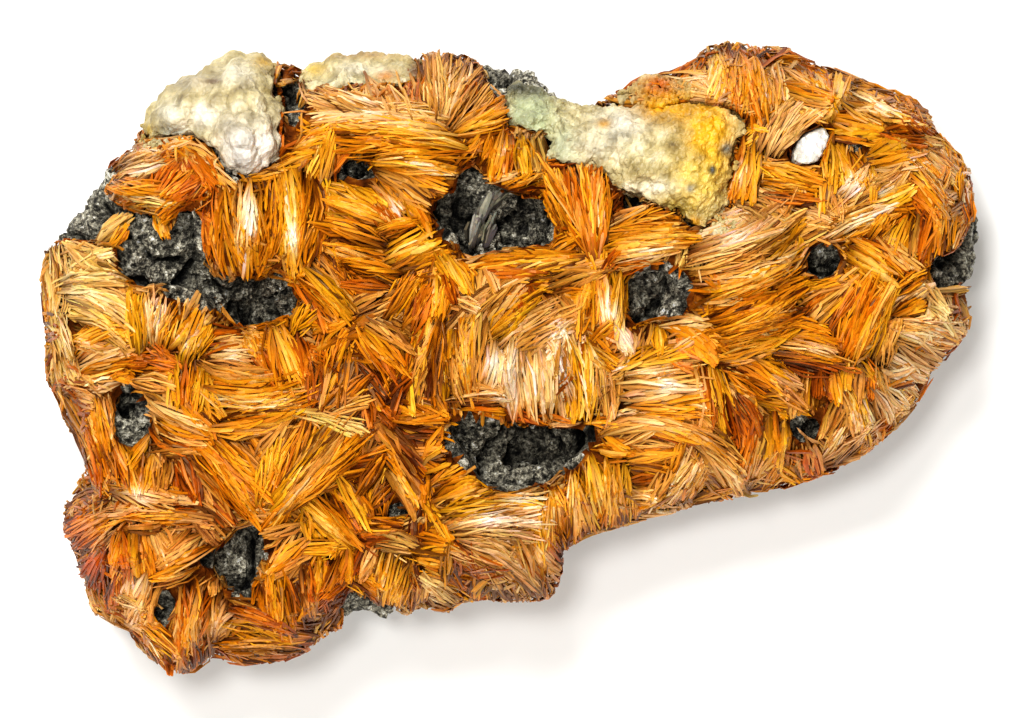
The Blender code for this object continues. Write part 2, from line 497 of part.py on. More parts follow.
def rock_mesh():
    """The rock: its upper face under the crust, its broken flanks and its flat base."""
    stand = np.array([point[2] for point in OUTLINE])
    away = PLATE - np.array(HUB)
    reach = np.sqrt((away * away).sum(axis=1))
    outline = PLATE - away / reach[:, None] * np.maximum(stand, 0.0)[:, None]

    def broken(share):
        """A level that is a share of the rim's height, with a rough break."""
        rough = ROCK_BREAK * min(1.0, 3.0 * share)
        return lambda x, y, rim: rim * share + rough * lumps(x, y, rim * share, BREAK_WIDTH, 3)

    flank = [(draw_in, broken(share)) for draw_in, share in ROCK_FLANK]
    base = (BASE_SCALE, lambda x, y, rim: 0.0)
    return lump_mesh(outline, ROCK_FACET, 11, rock_height, flank, base, HUB, ROCK_BREAK)


def crust_mesh():
    """The crust's body, solid down to inside the rock, before sheaves and windows."""
    stand = np.array([point[2] for point in OUTLINE])
    away = PLATE - np.array(HUB)
    reach = np.sqrt((away * away).sum(axis=1))
    outline = PLATE + away / reach[:, None] * np.minimum(stand, 0.0)[:, None]

    def ribbed(drop):
        """A level below the rim, uneven where the sheaves fold over the edge."""
        width, reach = FLANK_FOLDS
        return lambda x, y, rim: rim - drop + reach * lumps(x, y, drop, width, 4)

    flank = [(draw_in, ribbed(drop)) for draw_in, drop in CRUST_FLANK]
    inner = (CRUST_CAP[0], lambda x, y, rim: CRUST_CAP[1])
    return lump_mesh(outline, CRUST_FACET, 5, crust_height, flank, inner, HUB, CRUST_RIB)


def calcite_mesh(crust, seed):
    """A calcite crust: rounded lobes over a body that reaches down to the rock."""
    outline = polygon_of(crust.outline)
    hub = Vector(outline.mean(axis=0))

    def top(x, y):
        """The lobed face of the crust."""
        reach = min(1.0, edge_distance(x, y, outline) / CALCITE_ROLL)
        roll = math.sqrt(1.0 - (1.0 - reach) ** 2)
        lobe = max(k.height * math.sqrt(max(0.0, 1.0 - ((x - k.x) ** 2 + (y - k.y) ** 2) / k.radius ** 2))
                   for k in crust.knobs)
        width, rise = CALCITE_LUMPS
        return crust_height(x, y) + roll * (crust.swell + lobe + rise * lumps(x, y, 0.0, width, seed))

    def sunk(share):
        """A level below the rim, as a share of the crust's depth."""
        return lambda x, y, rim: rim - CALCITE_DEPTH * share

    flank = [(draw_in, sunk(share)) for draw_in, share in CALCITE_FLANK]
    floor = (CALCITE_CAP, sunk(1.0))
    return lump_mesh(outline, CALCITE_FACET, 20 + seed, top, flank, floor, hub)


def sheaf_mesh(shape, sheaf):
    """Add one sheaf to a mesh: a ridged, tapering lock that lies on the crystal face."""
    root = Vector(sheaf.root)
    tip = Vector(sheaf.tip)
    along = (tip - root).normalized()
    side = Vector((-along.y, along.x))
    rings = []
    for share, breadth, height in SHEAF_STATIONS:
        middle = root.lerp(tip, share) + side * sheaf.bend * BEND_REACH * share * (1.0 - share)
        crest = crust_height(middle.x, middle.y)
        ring = []
        for offset, lift in SHEAF_SECTION:
            spot = middle + side * offset * breadth * sheaf.width * SHEAF_SPREAD / 2.0
            ground = min(crust_height(spot.x, spot.y), crest + SHEAF_GROUND_RISE) - SHEAF_SINK * (1.0 - lift)
            ring.append(shape.verts.new((spot.x, spot.y, ground + lift * height * sheaf.rise)))
        rings.append(ring)
    count = len(SHEAF_SECTION)
    faces = [rings[0], rings[-1][::-1]]
    for near, far in zip(rings, rings[1:]):
        for i in range(count):
            j = (i + 1) % count
            faces.append((near[i], near[j], far[j]))
            faces.append((near[i], far[j], far[i]))
    made = [shape.faces.new(face) for face in faces]
    bmesh.ops.recalc_face_normals(shape, faces=made)


def window_mesh(shape, window):
    """Add one cutter to a mesh: a leaning prism through the crust along a window's rim."""
    rim = polygon_of(window.rim)
    middle = rim.mean(axis=0)
    level = crust_height(middle[0], middle[1])
    count = len(rim)
    rings = []
    for height in (level + WINDOW_ABOVE, level - WINDOW_BELOW):
        fall = (level - height) / WINDOW_FALL
        grown = middle + (rim - middle) * (1.0 + (window.spread - 1.0) * fall) + np.array(window.lean) * fall
        rings.append([shape.verts.new((x, y, height)) for x, y in grown])
    border = [(i, (i + 1) % count) for i in range(count)]
    _, _, caps, _, _, _ = delaunay_2d_cdt([Vector(corner) for corner in rim], border, [], 1, 1e-5)
    faces = [[ring[i] for i in cap] for ring in rings for cap in caps]
    for i in range(count):
        j = (i + 1) % count
        faces.append((rings[0][i], rings[0][j], rings[1][j], rings[1][i]))
    made = [shape.faces.new(face) for face in faces]
    bmesh.ops.recalc_face_normals(shape, faces=made)


def grown_copy(shape, gap):
    """A copy of a closed mesh whose faces all stand off by a gap in mm."""
    grown = shape.copy()
    grown.normal_update()
    moves = []
    for vert in grown.verts:
        tightest = min(vert.normal.dot(face.normal) for face in vert.link_faces)
        moves.append(vert.normal * gap / max(tightest, 0.5))
    for vert, move in zip(grown.verts, moves):
        vert.co += move
    return grown


def linear_colour(code):
    """The linear colour of an sRGB hex code."""
    channels = [int(code[i:i + 2], 16) / 255.0 for i in (0, 2, 4)]
    return [c / 12.92 if c <= 0.04045 else ((c + 0.055) / 1.055) ** 2.4 for c in channels] + [1.0]


def mineral(name, colour, roughness):
    """A material with the colour and the roughness of a mineral's surface."""
    material = bpy.data.materials.new(name)
    material.use_nodes = True
    shader = material.node_tree.nodes["Principled BSDF"]
    shader.inputs["Base Color"].default_value = linear_colour(colour)
    shader.inputs["Roughness"].default_value = roughness
    shader.inputs["Metallic"].default_value = 0.0
    material.diffuse_color = linear_colour(colour)
    return material


def add_object(name, shape):
    """Make an object of a mesh in millimetres, at its real size in metres."""
    bmesh.ops.scale(shape, vec=(MM, MM, MM), verts=shape.verts)
    mesh = bpy.data.meshes.new(name)
    shape.to_mesh(mesh)
    shape.free()
    made = bpy.data.objects.new(name, mesh)
    bpy.context.collection.objects.link(made)
    return made


def add_cutter(name, shape):
    """Make a guide object that only shapes others."""
    cutter = add_object(name, shape)
    cutter.hide_render = True
    cutter.display_type = "WIRE"
    return cutter


def carve(target, tool, operation):
    """Join a tool to a target or cut it away, and keep the result as the target's mesh."""
    change = target.modifiers.new(operation.lower(), "BOOLEAN")
    change.operation = operation
    change.solver = "EXACT"
    change.use_self = operation == "UNION"
    change.object = tool
    settled = bpy.context.evaluated_depsgraph_get()
    mesh = bpy.data.meshes.new_from_object(target.evaluated_get(settled))
    target.modifiers.remove(change)
    target.data = mesh


def thin(target, share):
    """Merge the small facets that many cuts leave, down to a share of their number."""
    change = target.modifiers.new("thin", "DECIMATE")
    change.ratio = share
    settled = bpy.context.evaluated_depsgraph_get()
    mesh = bpy.data.meshes.new_from_object(target.evaluated_get(settled))
    target.modifiers.remove(change)
    target.data = mesh


def keep_main_body(target):
    """Weld a carved mesh, and keep its largest body where a cut left crumbs."""
    shape = bmesh.new()
    shape.from_mesh(target.data)
    bmesh.ops.remove_doubles(shape, verts=shape.verts, dist=WELD_DISTANCE * MM)
    bmesh.ops.dissolve_degenerate(shape, edges=shape.edges, dist=WELD_DISTANCE * MM)
    bmesh.ops.triangulate(shape, faces=shape.faces)
    bodies = []
    waiting = set(shape.faces)
    while waiting:
        body = [waiting.pop()]
        for face in body:
            for edge in face.edges:
                for near in edge.link_faces:
                    if near in waiting:
                        waiting.remove(near)
                        body.append(near)
        bodies.append(body)
    bodies.sort(key=len)
    crumbs = [face for body in bodies[:-1] for face in body]
    bmesh.ops.delete(shape, geom=crumbs, context="FACES")
    shape.to_mesh(target.data)
    shape.free()


def dress(target, material):
    """Give an object its one material."""
    target.data.materials.clear()
    target.data.materials.append(material)


def main():
    """Build the specimen."""
    for old in list(bpy.data.objects):
        bpy.data.objects.remove(old)

    rock_shape = rock_mesh()
    bed = add_cutter("guide_rock_bed", grown_copy(rock_shape, JOINT_GAP))

    crust = add_object("barite_crust", crust_mesh())
    windows = bmesh.new()
    for window in WINDOWS:
        window_mesh(windows, window)
    carve(crust, add_cutter("guide_windows", windows), "DIFFERENCE")
    sheaves = bmesh.new()
    for sheaf in SHEAVES:
        sheaf_mesh(sheaves, sheaf)
    carve(crust, add_cutter("guide_sheaves", sheaves), "UNION")

    for seed, (name, calcite) in enumerate(CALCITES.items()):
        shape = calcite_mesh(calcite, seed)
        pocket = add_cutter("guide_pocket_" + name, grown_copy(shape, JOINT_GAP))
        carve(crust, pocket, "DIFFERENCE")
        lump = add_object(name, shape)
        carve(lump, bed, "DIFFERENCE")
        keep_main_body(lump)
        dress(lump, mineral(name + "_calcite", calcite.colour, 0.5))

    carve(crust, bed, "DIFFERENCE")
    keep_main_body(crust)
    thin(crust, CRUST_THINNING)
    dress(crust, mineral("golden_barite", BARITE_COLOUR, 0.42))

    rock = add_object("matrix_rock", rock_shape)
    dress(rock, mineral("dark_matrix", ROCK_COLOUR, 0.85))


main()
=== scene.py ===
"""Barite specimen: the looks of a plate of golden barite laths on dark matrix.

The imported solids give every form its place. This script lays thin laths in combs and fans over
the crystal face, breaks up the rock's surface, rounds the calcite, and lights the plate from above.
"""

import logging
import math
from dataclasses import dataclass, field
from enum import Enum
from typing import Callable, NamedTuple

import bmesh
import bpy
import numpy as np
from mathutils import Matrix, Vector, noise
from mathutils.bvhtree import BVHTree


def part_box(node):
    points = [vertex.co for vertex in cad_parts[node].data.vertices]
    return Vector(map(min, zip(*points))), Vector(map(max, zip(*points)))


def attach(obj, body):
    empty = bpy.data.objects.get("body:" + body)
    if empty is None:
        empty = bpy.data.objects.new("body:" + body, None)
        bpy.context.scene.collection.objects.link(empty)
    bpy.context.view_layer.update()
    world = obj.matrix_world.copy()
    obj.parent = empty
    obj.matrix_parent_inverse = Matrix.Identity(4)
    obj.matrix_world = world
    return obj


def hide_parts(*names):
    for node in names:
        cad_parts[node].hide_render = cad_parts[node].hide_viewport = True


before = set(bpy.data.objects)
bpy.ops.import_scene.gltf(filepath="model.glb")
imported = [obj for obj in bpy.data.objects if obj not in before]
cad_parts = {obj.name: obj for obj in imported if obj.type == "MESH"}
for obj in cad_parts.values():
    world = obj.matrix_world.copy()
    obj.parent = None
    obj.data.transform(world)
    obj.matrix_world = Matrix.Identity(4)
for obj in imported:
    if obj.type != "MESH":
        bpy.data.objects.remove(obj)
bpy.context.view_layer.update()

log = logging.getLogger("barite_specimen")
MM = 0.001


def linear(code: str) -> tuple[float, float, float, float]:
    """Turn an sRGB hex code to a linear colour.

    Args:
        code: Six hex digits.

    Returns:
        The linear red, green and blue, with full alpha.
    """
    channels = [int(code[i:i + 2], 16) / 255.0 for i in (0, 2, 4)]
    red, green, blue = (c / 12.92 if c <= 0.04045 else ((c + 0.055) / 1.055) ** 2.4 for c in channels)
    return red, green, blue, 1.0


class Tone(Enum):
    """Lath colour families, dark to light: painted shade, body, painted lit side, painted crest, worn white
    and highlight.
    """

    AMBER = ("4C1A02", "CA760A", "E89A1C", "F2B85E", "FAE6C4")
    HONEY = ("582C04", "D0880C", "EAA626", "F4C06A", "FBE9C8")
    RUSSET = ("3A1002", "A44E04", "D2740E", "E89C46", "F8E0BC")
    TAN = ("5A2A08", "C07E2C", "E0A252", "F0C488", "FAE8CC")
    ROSE = ("643410", "C68A44", "E6B474", "F4D4AC", "FBEAD0")
    STRAW = ("6C4414", "C48E42", "E6BA6C", "F2D49A", "FBE9C8")
    SMOKE = ("1A1917", "4C4A42", "807D70", "BCB9AC", "F0F0EA")


class Form(Enum):
    """How a sheaf's laths lie: a comb of thin ones, or a plate of few broad ones."""

    COMB = "comb"
    PLATE = "plate"


class Sheaf(NamedTuple):
    """A bundle of laths on the crystal face, in mm: where it roots and where its tips end.

    A positive bend bows it to the left of the way from root to tip.
    """

    root: tuple[float, float]
    tip: tuple[float, float]
    width: float
    tone: Tone
    bend: float = 0.0
    form: Form = Form.COMB

    @classmethod
    def of_row(cls, row: tuple) -> "Sheaf":
        """Make a sheaf of a row: root x and y, tip x and y, width, tone, then bend and form if given."""
        return cls(row[:2], row[2:4], *row[4:])

    @property
    def heading(self) -> float:
        """The way from root to tip, as an angle."""
        return math.atan2(self.tip[1] - self.root[1], self.tip[0] - self.root[0])


A, H, R, T, P, S, G = Tone
PLATE = Form.PLATE

# The sheaves as they lie in the photograph, by region, in rows for Sheaf.of_row. The letters are the
# tones in Tone's order: A is amber, H honey, R russet, T tan, P the pale rose, S straw, G grey smoke.
LAYOUT: dict[str, list[tuple]] = {
    "shoulder": [
        (-52.6, 20.8, -45, 25.2, 2.4, P, 0.5), (-50, 22.6, -41.6, 26.7, 2.4, P, 0.4),
        (-48, 24.4, -40.6, 27, 1.6, T, 0.4), (-43, 24.6, -51.2, 22, 2.6, P),
        (-42, 21.6, -50.2, 21.4, 2.4, A, 0.3), (-40.6, 24.8, -43.6, 20.8, 2.4, R),
        (-39.2, 23.6, -42.6, 20.6, 2.2, A), (-51.2, 20.2, -43, 20.6, 1.8, A, -0.3),
        (-49.8, 19.4, -42.4, 19.2, 1.4, S), (-41.4, 27, -35.2, 22, 2.4, T, 0.3),
        (-39.6, 26.4, -37, 21.4, 1.8, R), (-37.4, 23.6, -41.4, 20, 1.8, R),
        (-46.8, 27.4, -42, 27, 1.2, S, 0.2),
    ],
    "ball": [
        (-36.2, 21.6, -35.4, 9.8, 2, R, -1), (-34.9, 22.2, -34.5, 9.4, 2.2, A, -0.6),
        (-33.6, 22.4, -33.5, 9.6, 2, T, -0.2), (-32.2, 22.6, -32.4, 10, 2.2, A, 0.2),
        (-30.8, 22.8, -31.4, 10.6, 2.2, A, 0.6), (-29.4, 23.4, -30.2, 11.8, 2.4, A, 0.9),
        (-28.2, 24, -27.8, 11.4, 2.6, H, 0.6), (-26.8, 24.2, -26.9, 10.4, 2.6, H, 0.4),
        (-25.6, 23.6, -25.8, 11.6, 2.4, A, 0.8), (-24.9, 22.6, -23.8, 14, 2.2, A, 0.6),
        (-29.4, 23.4, -25, 25.6, 2.4, A, 0.2), (-26.8, 25.4, -22.6, 27.8, 1.6, A, 0.2),
        (-25.2, 21.4, -23.2, 27.4, 2, H), (-26.6, 23, -24.4, 27.2, 1.8, T, 0.2),
        (-23.2, 21.8, -22.6, 27, 1.6, H), (-22, 22.4, -22, 26, 1.2, R),
    ],
    "upper_fans": [
        (-5, 25.4, -22.4, 25.8, 2, A, -0.3), (-5.4, 26.2, -22.6, 27.4, 2.2, A, -0.4),
        (-6.4, 27.2, -24, 28.8, 2.2, A, -0.6), (-7, 27.6, -25, 30, 2.4, T, -0.9),
        (-8, 28.4, -26, 31.4, 2.4, P, -1.1), (-18, 30.4, -25.6, 32.6, 2.4, P),
        (-16.4, 31, -23.4, 33.8, 2.2, T), (-14.6, 28.8, -21, 33.8, 2.4, T, 0.3),
        (-13.6, 28.6, -17.6, 34.2, 2.4, P, 0.2), (-12.4, 29.4, -14.8, 34.4, 2.2, T),
        (-11, 30.2, -12.2, 34.4, 2, R), (-10.2, 29.8, -10.4, 33.8, 1.6, T),
        (-8, 27.4, -15.4, 29.6, 2.6, H, -0.3), (-7.4, 28.8, -14, 31.4, 2.2, T, -0.2),
        (-5.6, 25.8, -15, 27.8, 1.8, H, -0.2), (-9.2, 29.6, -9.8, 37.4, 2.4, T),
        (-8.8, 29.4, -7.6, 37.8, 2.2, T), (-8.4, 29, -5.6, 37.2, 2.2, P), (-8, 28.6, -4, 36, 2.2, T),
        (-7.7, 28.2, -2.6, 34.2, 2.2, T, -0.2), (-7.4, 27.8, -0.8, 32.6, 2.2, A, -0.2),
        (-6.8, 27, -0.4, 30.8, 2, A, -0.2), (-5.4, 26, -0.6, 29, 1.8, R, -0.2),
        (-10.4, 33.4, -12, 37.4, 1.8, T), (-11.4, 34.6, -12.8, 37.2, 1.6, T), (-1, 28.8, -2.2, 22.2, 2.2, A),
        (-0.2, 28, -0.8, 23.4, 1.8, R), (-3.8, 24.6, -2.6, 27.6, 1.4, A), (1.2, 27.6, 1.4, 23.2, 2.2, H),
        (3.2, 28.2, 3.4, 23.4, 2, S), (4.6, 22.6, -2.4, 21, 2.2, A, 0.3),
        (4.2, 21.2, -1.4, 19.8, 1.8, R, 0.2), (1.6, 23.6, -3.8, 22.2, 1.2, T, 0.2),
        (-18, 24.6, -6.3, 22.4, 2.2, A, 0.4), (-17.6, 24, -8.8, 21, 2.2, A, 0.3),
        (-17, 23.2, -9.8, 19.2, 2, T, 0.3), (-16.8, 22.6, -11, 17.4, 2.2, A, 0.3),
        (-18, 22, -14.2, 16.8, 1.8, T, 0.2), (-14, 20.6, -10.4, 16.8, 1.8, A, 0.2),
        (-23.6, 21.6, -15.6, 18, 2.2, H, 0.4), (-21.4, 22.4, -16.6, 19.4, 1.8, H, 0.2),
        (-18.8, 20.6, -14.4, 17, 1.8, R), (-15.8, 17, -22.8, 19.6, 1.8, A),
        (-15.8, 15.6, -23.2, 18, 1.8, H, -0.2), (-15.4, 14.4, -23.2, 16.4, 1.8, A, -0.2),
        (-15, 13.2, -22.8, 14.6, 1.8, A, -0.2), (-14.6, 12, -21.6, 13, 1.6, T, -0.2),
        (-13.6, 10.8, -20.4, 11.6, 1.6, A, -0.1), (-13.2, 9.6, -20.2, 10.4, 1.6, A),
        (-14.6, 8.8, -20.2, 9.2, 1.4, R), (-16.6, 15, -12, 17, 1.8, A, 0.2),
        (-16.2, 13.2, -8, 16.6, 2.2, H, 0.3), (-15.8, 12.2, -6.5, 15.2, 2.2, H, 0.3, PLATE),
        (-15.4, 11.2, -6.4, 14, 2, A, 0.2, PLATE), (-13.4, 10.2, -7.2, 12.8, 2, A, 0.2),
    ],
    "middle": [
        (-24.4, 14.2, -19.8, 8.6, 2, A, 0.2), (-25.2, 13, -20, 6.6, 2, T, 0.2),
        (-25.8, 11.8, -20.6, 5.4, 2, H, 0.2), (-26.6, 10.8, -22, 5, 1.8, A, 0.2),
        (-27.2, 10.2, -23.6, 5.2, 1.6, R, 0.2), (-20.6, 5.6, -16.6, 8.2, 1.4, T, 0.3),
        (-19, 5, -15.2, 7.6, 1.4, T, -0.2), (-16, 4.8, -12.6, 9.8, 1.8, A), (-15, 4, -11.6, 10, 1.8, H),
        (-13.8, 3.4, -11, 9, 1.6, A), (-12.4, 2.8, -10.6, 8.2, 1.6, R), (-11.2, 3.8, -10.2, 7.6, 1.4, A),
        (-10.4, 9.8, -9.8, 5.4, 1.4, A), (-9.2, 10.4, -9.4, 6.2, 1.4, A), (-8.6, 11, -7, 7.4, 1.4, R),
        (-8, 12.8, -5.6, 8.4, 1.6, H), (-6.8, 12.6, -5, 8, 1.6, A), (-5.6, 12.2, -4.6, 8.2, 1.6, T),
        (-4.2, 12.2, -3.6, 8.4, 1.4, T), (-7.9, 7.5, -4.2, 6.2, 1.2, P), (-3, 8, 1.4, 10.4, 1.4, T, 0.2),
        (-2.6, 10.6, 4, 10.8, 1.2, A, 0.1), (-27.2, -6.9, -18.4, -9, 1.2, S, 0.1),
        (-24.6, -10.6, -21.4, -7.9, 0.9, S), (-24.6, -6.6, -17.8, -3.2, 1.8, A),
        (-23.6, -7.2, -17.6, -5, 1.6, T), (-20.9, -0.4, -22.8, -6.2, 1.6, H),
        (-19.5, -0.2, -21.4, -5.2, 1.6, A), (-22.2, -0.2, -23.6, -5.6, 1.4, T),
        (-23.6, -0.2, -24.2, -5, 1.2, R), (-24.8, 0, -24.8, -5, 1.2, R), (-25.8, 0.2, -25.4, -4.4, 1.2, A),
        (-30.4, 4.6, -28.2, -2.8, 1.6, A), (-29.4, 4.8, -27.2, -3.2, 1.6, H),
        (-28.4, 4.4, -26.2, -3.4, 1.6, A), (-27.2, 3.8, -25.2, -2, 1.6, R),
        (-30.6, 1.6, -29.4, -3.4, 1.4, R), (-27.4, 2.8, -24.8, 6.4, 1.8, H),
        (-24.4, 0.8, -18.2, 4.8, 1.8, A, 0, PLATE), (-24.8, 3.4, -20.2, 5.2, 1.8, A),
        (-22.4, 0.2, -20.2, 3.2, 1.4, A), (-18.6, 5, -12.8, 1.6, 2, T, 0.2),
        (-18.8, 3.8, -13.6, -0.6, 1.8, A, 0.2), (-19.4, 2.8, -14.4, -2.2, 1.8, R, 0.2),
        (-19.6, 1.4, -15.4, -3.6, 1.8, A, 0.2), (-19.2, 0, -16.4, -4.6, 1.6, R, 0.1),
        (-18.6, -1.6, -16.8, -5.6, 1.4, A), (-16.2, -5.6, -13.6, -1.4, 1.6, A),
        (-15.2, -5.8, -12.8, -2.2, 1.4, R), (-18, -4, -17.4, -8.4, 1.2, R),
    ],
    "comb_fan": [
        (-30.6, -15, -25.6, -7.8, 1.8, A, -0.1), (-30.4, -17, -24, -8, 1.8, A, -0.1),
        (-30.2, -18.8, -22.4, -8.2, 2, H, -0.1), (-29.4, -19.6, -21, -8.8, 2, T, -0.1),
        (-28.2, -19.6, -19.6, -9.2, 2, A, -0.1), (-27.2, -18.8, -18.4, -9.6, 2, A),
        (-26.2, -17.8, -17.4, -10.2, 2, T), (-24.6, -16.8, -16.4, -11.2, 1.8, A),
        (-22, -14.8, -15.8, -12, 1.4, R), (-19, -17, -16.4, -12.6, 1.6, A), (-31, -22, -27, -17, 2, A),
        (-26.4, -17.2, -20.8, -23.2, 1.6, H), (-25.4, -17, -20.2, -22.8, 1.6, H),
        (-24.2, -16.8, -19.6, -22.2, 1.6, A), (-23, -16.4, -18.8, -21.4, 1.6, R),
        (-21.9, -14.2, -18, -20, 1.6, H), (-20.8, -14.6, -17.4, -18.6, 1.4, A),
        (-18.6, -19.6, -16.4, -14.4, 1.6, H), (-17.6, -19.6, -15.8, -15.6, 1.2, A),
        (-20, -20.4, -14.4, -20, 1.4, A), (-20, -21.4, -13.8, -21.4, 1.4, T),
        (-19.6, -22.2, -14.8, -22, 1, R), (-31.4, -12, -27.4, -7.6, 1.8, T),
    ],
    "standing": [
        (9.4, 12.8, -3.6, 12.4, 2, A), (9.4, 12, -3, 11.6, 1.6, H, 0.2), (5, 10.6, -2.4, 11, 1.2, R),
        (4.2, 12.6, 8.4, 15.4, 2.2, A, 0.2), (4.4, 9, 11, 10.6, 1.8, T, 0.2), (4.8, 8.2, 9.4, 8.2, 1.4, A),
        (5.2, 8.2, 7.4, 5.6, 1.6, T), (9.2, 12.4, 4, 24.2, 1.8, A, 0.2), (9.6, 12.2, 5.2, 24.6, 1.8, A, 0.2),
        (10, 12.2, 6.8, 24.6, 1.8, R, 0.1), (10.3, 12.2, 8.6, 24.6, 1.8, A),
        (10.7, 12.2, 10.2, 24.4, 1.6, R), (11.1, 12.4, 11.6, 23.4, 1.4, A), (11.4, 17.8, 14.6, 23.4, 1.4, R),
        (9.4, 16.6, 9.6, 11, 1.6, H), (10, 11.2, 7.2, 5.4, 1.6, A), (10.4, 11.4, 8.4, 4, 1.6, A),
        (10.8, 11.6, 9.9, 4.6, 1.6, A), (11.2, 11.6, 11, 5.2, 1.6, R), (12.2, 11.4, 12, 4.8, 1.6, H),
        (13, 11, 13.4, 4.2, 1.4, H), (11, 16, 17.4, 19.4, 1.6, T, 0.4), (11.2, 15.6, 20.4, 18.6, 2, A, 0.5),
        (11.2, 14.8, 21.8, 17, 2, A, 0.3, PLATE), (11.4, 13.8, 21.4, 15.4, 2, A, 0.3),
        (11.6, 12.8, 20.6, 14.2, 2, A, 0.1, PLATE), (11.8, 11.8, 19.4, 12.8, 1.8, T),
        (12, 11.2, 17, 11.8, 1.2, R), (21.8, 15.4, 20.6, 10.8, 1.2, S, -0.2),
    ],
    "below_pit": [
        (8.4, 2.8, 11.2, 5, 1.6, T), (9.2, 1.6, 12.4, 4.6, 1.8, A), (10.8, 1.4, 13.4, 4.2, 1.4, R),
        (13.2, 4.6, 14, 1, 1.6, P), (14.8, 5, 14.6, 0.8, 1.8, P), (17.4, 4.8, 16, 1, 1.8, T),
        (18, 4.2, 18.2, 1, 1.4, H), (9.4, 2.2, 12.2, -1.2, 1.6, A, -0.2), (14.6, 1.2, 12.2, -1, 1.2, T, 0.2),
        (13, -1, 20.8, 1, 1.8, H, 0.2), (12.8, -2.2, 21.8, -0.8, 1.8, T), (12.8, -3.6, 22, -2.4, 2, T),
        (13.4, -4.8, 22.2, -3.8, 1.8, P), (14.6, -6, 22.8, -5.2, 1.8, A), (15, -7.2, 23, -6.6, 1.6, A),
        (17.6, 4.4, 23.8, 4.2, 1.6, P, 0.4), (18.8, 3.8, 24.8, 1.2, 2, A, 0.3, PLATE),
        (21.4, 2.6, 25, -0.2, 1.8, A, 0.2, PLATE), (19.6, 0.6, 22, 2.2, 1.2, P),
        (23.8, -0.4, 20.9, 2, 1.4, R),
    ],
    "dome": [
        (-10.2, 5.6, -12.8, -4.6, 2.2, H, -0.5, PLATE), (-9.4, 5.2, -11.4, -4.6, 2, T, -0.5),
        (-8.6, 5.4, -9.8, -4.6, 2, A, -0.4), (-7.4, 5.8, -8.4, -4.2, 2, H, -0.4),
        (-6.2, 5.8, -6.9, -4, 2, T, -0.3), (-4.9, 6, -5.6, -3.8, 2, A, -0.3),
        (-3.6, 6.2, -4.2, -3.6, 2, T, -0.3), (-8.2, 3.6, -3.4, 8.6, 1.8, P, 0.4),
        (-8, 6.6, -4.4, 6.6, 1.2, T, 0.3), (-6, 3, -1, 8.8, 1.8, T, 0.4), (-4.4, 2.4, 1.4, 8.8, 1.8, P, 0.4),
        (-3.2, 1.6, 3.2, 8, 1.8, H, 0.4), (-2, 0.8, 5, 7, 1.8, P, 0.5), (-0.8, 0.4, 6.4, 5.8, 1.8, T, 0.5),
        (0.6, 0.4, 7.6, 4.2, 1.6, P, 0.4), (3.4, 5.4, 5.4, 1.4, 1.4, P, 0.1),
        (5.4, 5.2, 7.4, 1, 1.4, P, 0.2), (1.6, 4.4, 2.2, 0.4, 1.2, T), (3.4, 2.4, 6.8, 3.2, 1.2, P, 0.2),
        (-1.8, 3.6, -3.4, -2.6, 1.8, P, -0.2), (-0.6, 2.6, -1.2, -3.4, 1.6, T, -0.2),
        (0.4, 2.2, 0.2, -6.6, 1.8, P, -0.2), (1.8, 2, 1.6, -7.4, 1.8, T, -0.1),
        (3.2, 2.2, 3.2, -7.8, 1.8, P, 0.1), (4.6, 2.2, 4.8, -8, 1.8, T, 0.1), (6, 2, 6.6, -7.8, 1.8, P, 0.3),
        (7.4, 2.2, 8.6, -7.8, 2, H, 0.5), (9, 2, 10.4, -7.2, 2, H, 0.5), (10.4, 0.6, 12.2, -6.6, 2, T, 0.5),
        (-9, -3.6, -1, -3.8, 1.6, T), (-8.4, -4.8, -0.8, -5.2, 1.6, P, 0.2), (-6.6, -6, -1.4, -6.6, 1.2, A),
        (-9.6, -3.6, -8.2, -7, 1.2, A), (-1.4, -6.4, 3.2, -7.6, 1.2, R),
        (-15, -5.6, -8.6, -6.6, 1.8, A, 0.1), (-14.8, -7.2, -8.6, -7.8, 1.6, A),
        (-14.6, -8.6, -8.4, -9, 1.6, R), (-14.2, -9.8, -8.4, -10.2, 1.8, A),
        (-13, -11.2, -8.6, -11.4, 1.4, A), (-12.6, -5, -9, -6, 1.4, H),
        (-17.8, -6.4, -12.4, -14.6, 2.6, T, 0.2, PLATE), (-16.8, -8.4, -11.2, -15.4, 2.2, A, 0.2, PLATE),
        (-15.2, -9.8, -11.6, -14.4, 1.6, R, 0.1), (-16.2, -13.4, -12.4, -18.8, 2.2, T, 0.3, PLATE),
        (-14.6, -13, -11.6, -17.6, 1.8, A, 0.2), (-11.8, -12.8, -8.2, -9.8, 1.8, A),
        (-11.4, -14.4, -7, -11.6, 2, H, 0.2, PLATE), (-10.8, -16, -6, -13.4, 2, A, 0.2),
        (-9.8, -17.6, -4.6, -15.2, 1.8, A, 0.2), (-11.2, -16.4, -8.6, -22.8, 1.8, H, 0.2),
        (-10.4, -17.6, -7.8, -23.2, 1.4, A, 0.2), (-12, -16.6, -12, -20.6, 1.2, R),
    ],
    "bulb": [
        (-9, -18.8, 2.8, -17.6, 2, H, 0.6), (-6.4, -16.8, 3.2, -16.8, 1.6, T, 0.3),
        (-9, -20, 3, -19, 2, T, 0.5), (-8.6, -21.2, 2.6, -20.6, 1.8, P, 0.4),
        (-7.2, -22.2, 2.6, -22.2, 1.8, P, 0.4), (-5.4, -22.6, 2.8, -28.6, 2.2, P, 1),
        (-5.8, -23.6, 1.2, -29.6, 2, T, 0.8), (-3.6, -22.2, 3.4, -26.4, 2, P, 0.8),
        (-6.2, -24.6, -1.4, -28.8, 1.6, T, 0.5), (0.6, -22.4, 3.6, -28.8, 1.8, T, 0.4),
